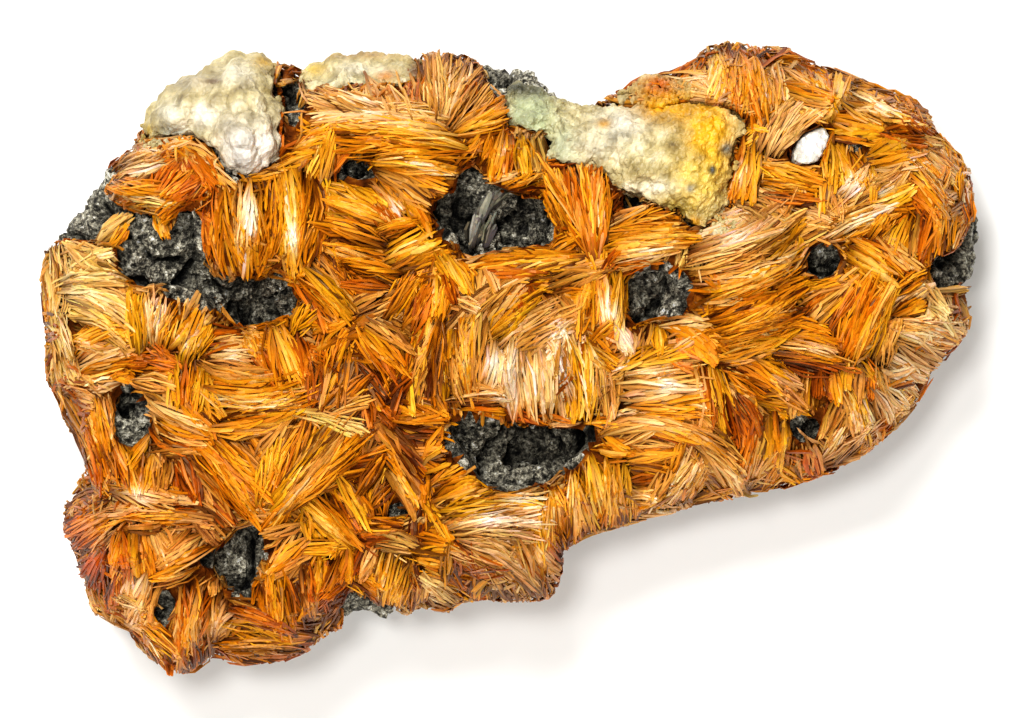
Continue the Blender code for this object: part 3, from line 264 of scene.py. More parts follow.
        (1.6, -24, 3.4, -29.8, 1.4, R, 0.2), (3.2, -16.6, 3.5, -24.4, 1.6, H), (4.4, -16, 5, -22.6, 1.6, A),
        (5.4, -15.4, 6.4, -23, 1.8, A), (6.8, -14, 7.9, -22.4, 1.8, A), (8.2, -12.8, 9.4, -21.8, 2, A),
        (9.8, -12, 10.9, -21.4, 2, H), (11.3, -11.8, 12.2, -21, 1.8, A), (12.7, -12, 13.6, -20.4, 1.8, A),
        (13.9, -12.6, 14.3, -19.8, 1.2, H), (10.2, -11, 14.4, -11.6, 1.4, A, 0.1),
        (4.2, -19, 4.6, -25, 1.2, R), (-20.6, -23, -21, -27.4, 1.4, A), (-19.6, -22.8, -20.4, -27.2, 1.4, H),
        (-18.4, -22.8, -19.4, -26.4, 1.4, R), (-17.2, -23, -18.4, -27.2, 1.4, T),
        (-20.8, -26.8, -16.6, -30.2, 1.6, H), (-15.9, -23.4, -17.2, -29.4, 1.6, H),
        (-14.8, -23.6, -16.2, -30.4, 1.6, H), (-13.7, -23.8, -15, -31, 1.6, H),
        (-12.6, -24.6, -13.9, -31.4, 1.6, H), (-11.8, -25.6, -12.6, -31.2, 1.4, A),
        (-11, -26.4, -11.6, -30.4, 1.2, T), (-17.8, -22.4, -12.8, -23.6, 1.4, S),
        (-13.2, -21.8, -8.2, -22.4, 1.4, A), (-13.2, -23.2, -8.4, -24.2, 1.6, H),
        (-12, -24.6, -8.4, -25.6, 1.4, A), (-12.2, -26.4, -7, -30.4, 1.8, S, 0.2),
        (-10.6, -26, -5, -29.8, 1.4, A, 0.2), (-8.4, -26.6, -3.6, -29.8, 1.4, R),
        (-8, -21.8, -8, -27.6, 1.2, H), (-7.2, -22.4, -6.8, -26.4, 1, R), (-10.8, -28.6, -7.6, -31, 1.6, P),
        (-4.4, -26.8, -4.8, -30, 1.6, A), (-3, -27.8, -2.6, -30, 1.6, H), (-1.6, -28.6, -0.4, -30, 1.4, T),
    ],
    "right_lower": [
        (10.8, -8.4, 18, -7, 1.6, P, 0.2), (10.8, -9.6, 20, -8, 1.8, T, 0.8),
        (14.8, -8.2, 25, -10.6, 1.8, A, 0.8), (15.2, -9.4, 23, -10.6, 1.4, R, 0.5),
        (18.6, -7.4, 27.6, -12.6, 2.2, T, 0.9), (21.4, -8.4, 28.2, -14.8, 2.2, T, 0.6),
        (22.8, -10.6, 28, -16.6, 2, T, 0.4), (14.2, -10.8, 19.6, -10.6, 1.4, T),
        (14.2, -12.2, 19.6, -12, 1.6, A), (14.2, -13.6, 19.2, -13.6, 1.6, A),
        (14.4, -15, 18.6, -14.8, 1.4, R), (15, -16.2, 17.6, -16.4, 1, T), (15, -16.6, 15.4, -19.8, 1.2, A),
        (15.6, -19.6, 19.2, -15, 1.6, T), (16.8, -19.4, 22, -12, 1.8, T, -0.2),
        (18.8, -18.8, 23.4, -12.8, 1.8, P, -0.2), (19.4, -15, 20.8, -10.8, 1.4, A),
        (21, -18.2, 24.2, -14.4, 1.4, T), (22.6, -17.9, 27.4, -16.6, 1.6, T), (24, -13.4, 28, -16.8, 1.8, T),
        (22.3, -0.8, 23.4, -7.8, 1.6, T, 0.2), (23.3, -1, 24.8, -8.6, 1.4, R, 0.2),
        (24.7, -0.2, 26.4, -9.4, 1.8, H, 0.2, PLATE), (26.4, -4.4, 27.8, -9.8, 1.6, R, 0.1),
        (26.2, -1.2, 31.6, -4.6, 1.8, A, 0.3), (26.6, -2.8, 31, -7.6, 1.8, T, 0.4),
        (27.6, -4.4, 30.6, -9, 1.6, R, 0.3), (27.6, -0.2, 33, -4.2, 2, A, 0.3),
        (29.6, 0.2, 34.4, -3, 1.6, H, 0.2), (30, -4.4, 36, -7.2, 1.8, H, 0.2),
        (31.4, -3.6, 36, -5.6, 1.6, T, 0.2), (31.8, -1.6, 35.6, -3.6, 1.6, P),
        (28.2, -16.8, 29.4, -9, 1.6, R), (29.4, -16.6, 30.6, -9.4, 1.6, T), (30.2, -14, 30.9, -8.8, 1.4, R),
        (31.3, -5.8, 31.9, -12, 1.4, H, 0, PLATE), (32.4, -6.2, 32.7, -12.4, 1.2, A),
        (33.7, -7.4, 33.2, -13.2, 1.4, H, 0, PLATE), (34.8, -9, 34.8, -13.6, 1.2, A),
        (35.8, -9.4, 36, -14.6, 1.2, T), (29.2, -16.7, 33, -12, 1.6, T), (31.2, -16.3, 33.6, -13.2, 1.4, A),
        (33, -13.2, 36, -15.4, 1.6, H), (36.8, -11.2, 38.2, -14.6, 1.6, R), (37.4, -10.8, 39, -13.8, 1.2, T),
    ],
    "right_fan": [
        (21.6, 14.4, 28.8, 18.6, 2, P, 0.2), (21.6, 13.2, 32.2, 18.4, 2, P, -0.5),
        (21.4, 12, 33.4, 17.6, 2, P, -0.7), (21.2, 11, 34.4, 16.8, 2, T, -0.8),
        (21.2, 10, 35.2, 15.6, 2, T, -0.9), (21.4, 9, 35.8, 14.2, 2, T, -0.9),
        (21.8, 8, 36, 12.8, 2, A, -0.8), (23.4, 7, 36.2, 11.4, 2, A, -0.6), (22.4, 5.6, 36, 9.9, 2, A, -0.5),
        (23.6, 4.6, 35.2, 8.2, 2, A, -0.4), (24.4, 3.4, 34, 6.8, 1.8, A, -0.3),
        (24.8, 2.4, 34.4, 5.2, 1.8, A, -0.3), (25, 1.2, 34.6, 3.8, 1.8, A, -0.3),
        (25.4, 0.2, 33.4, 2.4, 1.6, H, -0.3), (26, -0.6, 31.8, 1, 1.4, T, -0.2),
        (31, 12.4, 35.6, 16.8, 1.6, H), (26.8, 19.2, 33.6, 17.8, 1.4, P), (34.4, 17.4, 39.4, 16.6, 1.4, T),
        (34.8, 18.6, 38.8, 17.2, 1.4, P), (32.4, 18.4, 35.4, 20.4, 1.4, T),
    ],
    "right_lobe": [
        (38.6, 14.6, 46.6, 18.8, 1.8, P, 0.2), (38.2, 15.8, 45.8, 19.4, 1.8, T, 0.2),
        (40.2, 14.6, 46.8, 17.6, 1.6, A, 0.2), (37.6, 17.6, 42.2, 19.8, 1.6, T),
        (44.2, 14.4, 46.2, 17.6, 1.6, A), (41, 13.4, 46.8, 9.6, 1.8, H, 0.2, PLATE),
        (40.8, 12.2, 45.4, 8.8, 1.6, H, 0.2), (40.8, 11, 44, 8.8, 1.4, A),
        (41.6, 14.8, 47.8, 10.2, 1.6, A, 0.2), (43.2, 15.6, 48.6, 10.8, 1.6, R, 0.2),
        (44.8, 15.6, 49.4, 11.4, 1.6, T, 0.1), (46, 14.4, 50.6, 11.8, 1.6, A, 0.1),
        (49, 18, 47, 13.2, 1.6, H), (49.8, 18.6, 48.3, 13, 1.6, A), (50.8, 19, 49.6, 13, 1.6, T),
        (51.8, 19.6, 50.8, 12.8, 1.6, R), (52.9, 19.8, 52, 13.4, 1.6, A), (54, 19.6, 53.2, 13.2, 1.6, A),
        (55.2, 18.6, 54.4, 13, 1.6, A), (56.6, 17.4, 55.6, 13.4, 1.4, T), (57.4, 19.6, 54.6, 17.6, 1.6, T),
        (34.8, 8.6, 40.6, 9.8, 1.4, H, 0.2), (35.2, 7.2, 41.4, 9.6, 1.4, A, 0.2),
        (35.4, 5.8, 40.4, 9.2, 1.6, T, 0.2), (35.6, 4.8, 40, 8.6, 1.6, R, 0.1),
        (36.6, 3.8, 41.4, 9.6, 1.8, T, 0.1), (37.8, 3.2, 42, 9.2, 1.6, A, 0.1), (39, 2.6, 42.4, 8.6, 1.4, R),
        (34.2, 2.8, 39.6, 2.4, 1.6, A, 0.1), (33, 1.6, 39.8, 1.2, 1.6, T, 0.2),
        (32.2, 0.6, 40.2, -0.2, 1.6, A, 0.2), (33, -0.6, 40.6, -1.2, 1.4, R, 0.1),
        (40.2, -0.6, 43.4, 9, 2, A, 0.2), (40.8, -1, 44.6, 9.6, 2, A, 0.2), (41.6, -1, 45.8, 9.4, 2, A, 0.2),
        (42.6, -0.6, 46.6, 8.6, 1.8, A, 0.1), (44, 0.2, 47.2, 7.2, 1.8, H, 0.1),
        (44.8, -0.4, 47.4, 4.2, 1.6, T), (43.4, 10.4, 45.8, 12.4, 1.4, T),
        (46.2, 6.4, 51.8, 8.6, 1.8, P, 0.2, PLATE), (46.6, 7.6, 51, 10.2, 1.6, A, 0.2),
        (47, 5.4, 50.6, 6.8, 1.2, A), (34.6, -1.2, 34, -4.4, 1.4, T), (36, -1.2, 36.4, -5.8, 1.4, T),
        (37.2, -1.2, 37.1, -7, 1.4, H), (38.4, -1.2, 39.4, -4.6, 1.4, R), (39.8, -1.2, 40.6, -5.2, 1.4, A),
        (41.7, -0.8, 41.7, -3.6, 1.2, H), (43, -1, 43.4, -4.8, 1.4, T), (44.2, -1, 45, -4.6, 1.4, R),
        (45.4, -0.8, 46.4, -4.4, 1.4, T), (40.4, -5, 38.3, -9.2, 1.4, T), (41.2, -5.4, 39.4, -11, 1.4, T),
        (40.4, -3.2, 43, -9.4, 1.8, T, 0.2), (41.6, -3.4, 44.6, -9.8, 1.8, H, 0.2),
        (43, -3.8, 46.2, -9.2, 1.8, P, 0.2), (44.6, -3.6, 47.4, -7.8, 1.6, P, 0.2),
    ],
    "right_rim": [
        (46.2, -1.4, 50.6, -4.6, 2, P), (46.4, 0.4, 52.4, -2.2, 2, P), (47, 2, 54, -0.2, 2, P),
        (47.2, 3.6, 55, 1.6, 2, T), (47.4, 4.8, 55.6, 3.4, 1.8, T), (46, -3.4, 49.6, -6.4, 2, P),
        (52.4, 7.4, 55.2, 3.2, 1.2, S), (54, 8.4, 56.6, 4, 1.8, S), (51.2, 8.4, 57.2, 8.8, 1.4, S),
        (52.6, 9.6, 57.4, 10, 1.2, T), (51.6, 6.8, 53.6, 5, 1.4, S), (52.4, 2.8, 56, 2.4, 1.6, A),
        (38.2, -13.6, 41.8, -10.6, 2, P), (40, -13.2, 43.6, -9.8, 2, P), (41.8, -12.6, 45.4, -10.2, 1.8, T),
        (43.6, -11.4, 47.6, -8.2, 1.6, R), (46, -9.4, 50.2, -5.4, 1.4, T), (50.6, 28.6, 54.8, 25.4, 2, P),
        (51.4, 29.6, 55.8, 26.4, 1.6, T), (52.2, 26.8, 56.2, 22.6, 2, P), (51, 26.6, 54.8, 22.4, 1.8, T),
        (54.2, 20.4, 55, 24.4, 1.4, A), (55.6, 19.6, 56.6, 23.4, 1.6, A), (57.4, 18.2, 56.8, 21.8, 1.4, P),
    ],
    "top_right": [
        (24.4, 38.6, 24.4, 32.8, 1.6, T), (25.4, 38.8, 25.3, 32.6, 1.6, H), (26.4, 39.2, 26.4, 32, 1.8, A),
        (27.4, 39.6, 27.8, 31.4, 1.8, R), (28.2, 39.6, 29.2, 30.6, 1.8, A), (29, 39.4, 30.2, 30.2, 1.8, R),
        (29.9, 38.8, 31.4, 30.6, 1.8, A), (31, 38.2, 32.6, 31.4, 1.6, T), (32.2, 36.4, 33.4, 32.2, 1.4, T),
        (30.8, 36.6, 34.8, 38.4, 2, R, 0.2), (31.4, 38.2, 35.6, 37.6, 1.4, A),
        (22.8, 37.2, 24.2, 34.4, 1.6, T), (20.6, 34.6, 24.6, 33, 1.8, T), (33.4, 36, 36.8, 35, 1.6, T),
        (35.2, 36.8, 36.8, 34, 1.4, R), (36.4, 36.6, 37.4, 33.6, 1.4, A), (38.2, 36.2, 38.5, 32.8, 1.4, T),
        (39.4, 36, 39.2, 32.6, 1.4, R), (33.4, 34.2, 39, 32.6, 1.6, A), (33.2, 33, 38.9, 31.6, 1.6, T),
        (33, 31.8, 38.6, 30.6, 1.6, A), (38.4, 30.4, 41.2, 35, 1.6, H, 0, PLATE),
        (39.6, 30.2, 42, 34.6, 1.4, A), (41.2, 34.6, 45.8, 32.4, 1.8, T), (41.6, 33.4, 47.2, 30.8, 1.8, P),
        (40.6, 31.8, 46.2, 29.8, 1.8, T), (39.4, 30, 46, 28.8, 1.8, A, 0, PLATE),
        (39.4, 28.6, 45.8, 27.8, 1.6, H, 0, PLATE), (39.6, 27.4, 45, 27, 1.2, A), (43, 35, 47.4, 33, 1.6, A),
        (45.4, 32.8, 50, 31.6, 1.6, T), (46.4, 31.6, 52, 28.8, 1.6, R), (47.4, 32.8, 52.8, 29.2, 1.4, A),
        (45.2, 30, 51.2, 27.4, 1.6, A), (45, 28.6, 50.4, 26.8, 1.6, R),
        (43.6, 25, 49, 27.2, 1.8, H, 0.2, PLATE), (43.4, 24.4, 50.2, 25.4, 1.6, A),
        (44, 23.6, 50.8, 24, 1.4, T), (48.6, 26.6, 53.6, 22, 1.6, A), (49.4, 25, 53.4, 20.4, 1.6, A),
        (48.8, 23.4, 53.6, 18, 1.8, A), (48, 22.6, 52.4, 17.2, 1.8, R), (44.8, 20.6, 49, 22.6, 1.6, T, -0.3),
        (44.6, 19.4, 49.6, 20.8, 1.6, H, -0.3), (44.4, 21.8, 48, 23.4, 1.4, T, -0.2),
        (44.6, 18.4, 49.8, 19.2, 1.4, A), (39.4, 26.6, 39.6, 21.8, 1.6, H),
        (40.6, 26.8, 41.6, 22.4, 1.6, H, 0, PLATE), (41.8, 26, 43.2, 22, 1.6, A),
        (43.4, 24.8, 42.6, 20.6, 1.4, H), (38.2, 25.2, 38.2, 18.6, 1.4, H), (39.4, 22.6, 39, 18.6, 1.4, T),
        (30.6, 23.6, 37.4, 22.6, 1.6, A), (30.6, 22.4, 37.2, 21.6, 1.4, A), (30.6, 21.2, 37.2, 20.6, 1.4, A),
        (31, 20.2, 37, 19.6, 1.4, R), (30.8, 24.4, 36.6, 23.8, 1.4, T), (40, 19.4, 43.8, 23.6, 1.8, P),
        (41.4, 18.6, 45, 22, 1.6, T), (40.6, 20.8, 43, 24.4, 1.4, H), (30.4, 25.2, 33.6, 31, 2, P, 0.4),
        (31.6, 25, 35.4, 31.2, 2, P, 0.4), (33, 25.4, 37.8, 31, 2, T, 0.4), (32, 24.4, 36, 28, 1.8, P),
        (27, 28.6, 33.4, 32.2, 1.6, A, 0.4), (23.6, 30.8, 29.4, 30.2, 1.4, T),
        (26, 29, 30.8, 28.2, 1.4, H, 0.2), (28.2, 25.4, 27, 20.4, 1.8, R), (29.2, 25.6, 28.4, 20, 1.6, A),
        (30, 26.6, 29.8, 19.4, 1.4, H), (27.2, 24.2, 26.6, 20.6, 1.4, A),
    ],
    "left_rim": [
        (-56.4, 10.4, -49.8, 13.6, 1.8, S, 0.3), (-50, 10.8, -55, 13.8, 1.8, S),
        (-56.8, 9.6, -48.6, 9.4, 1.8, S, 0.6), (-56.4, 8.6, -47.8, 6.4, 1.8, S, 0.8),
        (-55.4, 7.4, -47.8, 4.8, 1.8, S, 0.8), (-54.8, 6.2, -48.2, 3, 1.8, H, 0.6),
        (-54.2, 4.8, -48.6, 1.6, 1.8, S, 0.4), (-58, 14.2, -57.6, 9.4, 2, S), (-58.6, 12, -57.2, 6, 1.6, S),
        (-57.6, 6.4, -56.8, 0.6, 1.8, S), (-56.4, 5.6, -55.2, 0.4, 1.8, S), (-57.8, 1.8, -57, -3.8, 1.8, S),
        (-55.2, 1.6, -48.8, 4, 1.8, A, 0.3), (-54.6, 0.4, -48.2, 2.8, 1.8, A, 0.3),
        (-47.4, 0.6, -53.4, 1.4, 1.8, T), (-54.4, -1, -48, 1.2, 1.8, P, 0.3),
        (-54.6, -2.6, -47.2, -0.2, 1.8, A, 0.3), (-48, -2.8, -54.8, -3.4, 1.8, P),
        (-57.4, -3.6, -52.8, -4.4, 1.4, T), (-56.6, -4.6, -54, -8.6, 2, T, 0, PLATE),
        (-55.2, -7.8, -53.4, -12.6, 1.8, T), (-53.8, -5.2, -52.4, -10.6, 1.4, T),
    ],
    "left_middle": [
        (-46.4, 0.8, -47.2, 7.8, 1.6, H), (-45.6, 1, -46, 8.4, 1.6, H), (-47, 2.4, -48.2, 6.4, 1.2, T),
        (-44.8, 1.6, -44.6, 9.6, 1.8, T), (-44.4, 1.4, -43.2, 9.4, 1.8, P), (-43.8, 1.2, -41.8, 8.8, 1.8, T),
        (-43, 1, -40.4, 7.8, 1.8, A), (-42.2, 0.8, -39.2, 6.8, 1.8, A, 0, PLATE),
        (-41.2, 0.6, -38.2, 6, 1.6, A), (-40.2, 0.4, -37.6, 5, 1.6, T), (-39.2, 0.4, -37.4, 3.6, 1.4, H),
        (-37.6, 1, -31.2, 0.6, 2, P), (-37.2, 2.2, -31.6, 2.4, 1.8, T, 0.2),
        (-33.2, 3.4, -31.8, 0.8, 1.4, A), (-37.2, -0.4, -30.8, -0.8, 1.8, T),
        (-38.8, 0, -31, -2.4, 1.8, T, -0.6), (-38.2, -2, -28.8, -2.4, 1.8, A, -0.8),
        (-37.6, -3.4, -27.8, -3.4, 2, A, -0.8), (-37.4, -5, -26, -3.8, 2, T, -0.8),
        (-37.2, -6.4, -25, -4.8, 2, A, -0.7), (-37.2, -7.6, -26.2, -5.8, 2, T, -0.6),
        (-37.8, -8.6, -27.4, -7, 1.8, A, -0.5), (-36.4, -9.4, -27.8, -8.6, 1.6, T, -0.3),
        (-46, -0.2, -41.8, -0.8, 1.4, R), (-46.2, -1.4, -41.8, -2.2, 1.4, A),
        (-47, -2.8, -41.8, -3.6, 1.4, T, 0.2), (-41.6, 0.4, -41.6, -5.2, 1.4, H),
        (-40.4, 0.4, -40.4, -6.2, 1.2, R), (-39.4, 0.2, -39.4, -6, 1.2, A), (-38.4, 0, -38.3, -5.6, 1.4, H),
        (-41.2, -4.6, -37, -9.2, 1.6, A, 0.2), (-39.8, -5.4, -36.6, -9, 1.4, A, 0.2),
        (-47.2, -4.2, -38.8, -9.4, 1.8, A, -0.9), (-45.6, -4.4, -37.8, -8.8, 1.8, T, -0.6),
        (-46.8, -5.8, -39, -10.4, 1.6, T, -0.9), (-46.8, -7.2, -39.6, -11, 1.4, R, -0.9),
        (-46.6, -8.8, -40.2, -11.4, 1.2, T, -0.8), (-52.8, -4.8, -51.6, -11, 1.6, A),
        (-51.6, -4.6, -50.2, -11.4, 1.6, A), (-50.6, -4.6, -49.6, -9.4, 1.4, T),
        (-53.2, -8.6, -51.6, -14.8, 1.6, R), (-52.2, -9.6, -50.4, -15, 1.6, A),
        (-51, -9, -48.9, -14.8, 1.6, A), (-50, -9.4, -47.8, -14.8, 1.4, R),
        (-49.2, -10, -46.9, -15.6, 1.4, A), (-47.4, -10.6, -46.8, -16, 1.4, H),
        (-46, -11.2, -45.9, -16, 1.4, A), (-44.6, -11.4, -45, -15.8, 1.4, H),
        (-43.6, -11.6, -43.9, -15.8, 1.4, T), (-42.4, -12.2, -42.8, -15.6, 1.2, T),
        (-45, -11.2, -39.6, -11.6, 1.2, T, 0.2), (-41.4, -12, -38.4, -16.6, 1.4, R, 0.4),
        (-53.6, -12.8, -50.6, -16, 1.6, H),
    ],
    "lower_left": [
        (-40, -10.8, -33.4, -18.8, 2, A, 0.2), (-39.2, -10, -32.4, -18.8, 2, A, 0.2),
        (-38, -9.6, -31.4, -18.2, 2, R, 0.2), (-36.6, -9.4, -30.6, -16.4, 2, A, 0.2),
        (-35.2, -9.2, -29.9, -14.6, 2, T, 0.2), (-33.4, -9, -29.4, -12.8, 1.8, A, 0.1),
        (-39.8, -12.4, -35.2, -19.2, 1.8, T, 0.2), (-31.6, -18.4, -28.8, -11, 1.8, H),
        (-30.4, -18.6, -27.2, -11, 1.8, A), (-35.4, -19, -30.4, -19.2, 1, T),
        (-40, -17.8, -35, -22.4, 1.8, T, 0.2), (-39, -17.2, -34.4, -21.2, 1.6, P, 0.2),
        (-38, -16.6, -34.4, -20.4, 1.4, R), (-40.2, -19.2, -36.4, -22.6, 1.4, P),
        (-50.4, -15.4, -41.8, -16.8, 1.4, T), (-50.2, -16.4, -42, -17.8, 1.6, P),
        (-43.6, -16.2, -39.2, -17.6, 1.6, T), (-49.4, -17.8, -40.2, -18.4, 1.4, R),
        (-49.2, -18.8, -40.2, -19.2, 1.4, A), (-49, -19.8, -40.4, -20, 1.2, T),
        (-50, -16.6, -55.4, -18.6, 1.8, T), (-49.6, -17.6, -55.6, -20, 1.8, A),
        (-49.4, -18.8, -55.2, -21.6, 1.8, T), (-49.2, -20, -54.4, -23.2, 1.8, A),
        (-48.8, -21, -53.2, -24.6, 1.8, P), (-49.6, -23.2, -52.8, -27, 1.6, R),
        (-48.4, -21.4, -48.9, -25.4, 1.4, A), (-47.6, -21, -47.8, -25.6, 1.4, R),
        (-46.5, -20.6, -46.3, -26.2, 1.4, H, 0, PLATE), (-45.6, -20.8, -44.4, -26, 1.4, A),
        (-45, -20.6, -42.6, -24.8, 1.4, T), (-39.8, -20.6, -43.4, -24.4, 1.8, T),
        (-38.2, -21.6, -43, -25.4, 1.8, T), (-36.6, -23, -43.2, -26.8, 1.8, A, 0.2),
        (-36.8, -24.4, -42.6, -27.8, 1.6, T, 0.2), (-42, -27.4, -44.8, -32.2, 2, T, 0, PLATE),
        (-43.6, -26.8, -45.8, -32.4, 2, P), (-45.4, -26.4, -46.8, -32.2, 2, T),
        (-47, -26.2, -47.4, -31, 1.8, P), (-48.6, -26.4, -50.2, -30.6, 1.8, R),
        (-50.4, -28.8, -46.2, -30.6, 1.6, S), (-51, -30.2, -45.6, -31.8, 1.6, A),
        (-50.6, -31.6, -46.4, -33.4, 1.6, T), (-52.4, -28.6, -51, -32.2, 2, S),
        (-48.4, -32.8, -43.8, -37.8, 1.6, A), (-47, -32.4, -42.8, -37.4, 1.6, H),
        (-45.6, -32.2, -41.8, -37, 1.6, A), (-44.2, -33.6, -41.2, -38.4, 1.4, T),
        (-43.8, -36.4, -42.6, -39.4, 1.4, R), (-41, -27.6, -42.2, -34.6, 1.4, T),
        (-40, -27.6, -41.4, -36, 1.4, R), (-39, -27.4, -40.6, -36, 1.4, A), (-38, -27.4, -40, -35.8, 1.4, T),
        (-37, -27.6, -39.2, -36, 1.4, R), (-36, -28.6, -38, -36.8, 1.4, T),
        (-35.2, -29.8, -37.2, -35, 1.4, P), (-41, -34.6, -41.4, -39.2, 1.4, A),
        (-39.8, -34.6, -40.2, -38.8, 1.4, R), (-38.4, -34.6, -38.8, -37.8, 1.2, R),
        (-35, -29.8, -28.4, -32.8, 1.6, T, 0.5), (-35, -30.8, -28.2, -33.6, 1.6, R, 0.4),
        (-35.2, -32, -28.2, -34.2, 1.6, A, 0.3), (-36.2, -33.2, -28.2, -34.6, 1.6, H, 0.2),
        (-36.8, -34.4, -28.6, -35.4, 1.4, A, 0.1), (-37.2, -35.4, -28.6, -36.2, 1.4, T),
        (-37, -36.4, -28.4, -37.2, 1.4, A), (-36, -37.2, -29.6, -37.8, 1.2, R),
        (-29.8, -35.2, -25.6, -34.6, 1.4, A), (-30, -36.4, -24.6, -35.8, 1.6, R),
        (-30.4, -37.4, -26, -36.8, 1.2, A), (-26.8, -34.6, -22, -31, 1.6, T),
        (-26.4, -33.2, -21.4, -29.8, 1.6, A), (-25.8, -31.8, -21.6, -28.8, 1.4, R),
        (-30.2, -25, -29.2, -33.4, 1.6, A), (-29.4, -25.2, -27.8, -33.8, 1.6, H),
        (-28.4, -25.4, -26.8, -33.6, 1.4, A), (-27.4, -25.6, -25.6, -32.4, 1.4, R),
        (-26.4, -25.8, -24.8, -31.4, 1.4, T), (-25.4, -20.8, -29.4, -24.6, 1.4, T),
        (-24.8, -22, -29.4, -25.8, 1.6, A), (-24.4, -23.4, -28.8, -27, 1.4, T),
        (-28.6, -24.4, -20.8, -22.8, 1.4, H, 0.2), (-24, -23.4, -24.2, -30.6, 1.4, H),
        (-22.9, -24.6, -23.2, -30.4, 1.4, R), (-21.8, -24.2, -22.2, -29.4, 1.4, A),
        (-24.8, -24.8, -25.2, -29.6, 1, R),
    ],
}
SHEAVES = {region: [Sheaf.of_row(row) for row in rows] for region, rows in LAYOUT.items()}


def add_node(tree: bpy.types.NodeTree, kind: str, settings: dict | None = None,
             links: dict | None = None) -> bpy.types.Node:
    """Add a node with its settings and links.

    Args:
        tree: The node tree to add to.
        kind: The node's type name.
        settings: Values by property or input name; an input's number or name may be used.
        links: Output sockets by the input they feed.

    Returns:
        The new node.
    """
    node = tree.nodes.new(kind)
    for name, value in (settings or {}).items():
        if isinstance(name, str) and hasattr(node, name):
            setattr(node, name, value)
        else:
            node.inputs[name].default_value = value
    for name, socket in (links or {}).items():
        tree.links.new(socket, node.inputs[name])
    return node


def ramp(tree: bpy.types.NodeTree, source: bpy.types.NodeSocket,
         stops: list[tuple[float, tuple]]) -> bpy.types.NodeSocket:
    """Add a colour ramp fed by a value.

    Args:
        tree: The node tree to add to.
        source: The value that picks the place on the ramp.
        stops: Positions and their colours, in order.

    Returns:
        The ramp's colour.
    """
    node = add_node(tree, "ShaderNodeValToRGB", links={"Fac": source})
    elements = node.color_ramp.elements
    elements[0].position, elements[0].color = stops[0]
    elements[1].position, elements[1].color = stops[-1]
    for position, colour in stops[1:-1]:
        elements.new(position).color = colour
    return node.outputs["Color"]


def multiplied(tree: bpy.types.NodeTree, one: bpy.types.NodeSocket,
               other: bpy.types.NodeSocket) -> bpy.types.NodeSocket:
    """Multiply two colours.

    Args:
        tree: The node tree to add to.
        one: A colour.
        other: The colour to tint it with.

    Returns:
        The product.
    """
    settings = {"data_type": "RGBA", "blend_type": "MULTIPLY", "clamp_result": True, "Factor": 1.0}
    mix = add_node(tree, "ShaderNodeMix", settings)
    tree.links.new(one, mix.inputs["A"])
    tree.links.new(other, mix.inputs["B"])
    return mix.outputs["Result"]


def grey(value: float) -> tuple[float, float, float, float]:
    """Give a grey of that value."""
    return value, value, value, 1.0


def new_material(name: str) -> tuple[bpy.types.Material, bpy.types.NodeTree, bpy.types.Node]:
    """Start a material.

    Args:
        name: The material's name.

    Returns:
        The material, its node tree and its Principled shader.
    """
    material = bpy.data.materials.new(name)
    material.use_nodes = True
    tree = material.node_tree
    return material, tree, tree.nodes["Principled BSDF"]


@dataclass(frozen=True)
class LathBarite:
    """Barite in thin laths: silky, honey to amber, with light that passes a little way into each blade.

    Lengths are in mm in this finish and the others.
    """

    name: str = "barite_laths"
    ior: float = 1.636
    roughness: float = 0.36
    gloss: float = 0.24
    scatter: float = 0.1
    scatter_depth: float = 0.6

    def make(self) -> bpy.types.Material:
        """Make the material.

        Returns:
            The finish, in the colours its laths carry.
        """
        material, tree, shader = new_material(self.name)
        colour = add_node(tree, "ShaderNodeAttribute", {"attribute_name": "lath_colour"})
        place = add_node(tree, "ShaderNodeUVMap", {"uv_map": "lath"})
        # Striations run along a lath, a few across its width
        stretch = add_node(tree, "ShaderNodeMapping", {"Scale": (3.4, 0.8, 1.0)},
                           {"Vector": place.outputs["UV"]})
        streak = add_node(tree, "ShaderNodeTexNoise", {"Scale": 2.2, "Detail": 3.0},
                          {"Vector": stretch.outputs[0]})
        shade = ramp(tree, streak.outputs["Fac"], [(0.28, grey(0.7)), (0.48, grey(0.98)), (0.72, grey(1.25))])
        tree.links.new(multiplied(tree, colour.outputs["Color"], shade), shader.inputs["Base Color"])
        spread = {"To Min": self.roughness - 0.08, "To Max": self.roughness + 0.16}
        rough = add_node(tree, "ShaderNodeMapRange", spread, {"Value": streak.outputs["Fac"]})
        tree.links.new(rough.outputs[0], shader.inputs["Roughness"])
        shader.inputs["IOR"].default_value = self.ior
        shader.inputs["Specular IOR Level"].default_value = self.gloss
        shader.inputs["Specular Tint"].default_value = linear("FFDCA6")
        shader.inputs["Subsurface Weight"].default_value = self.scatter
        shader.inputs["Subsurface Radius"].default_value = (1.0, 0.45, 0.12)
        shader.inputs["Subsurface Scale"].default_value = self.scatter_depth * MM
        return material


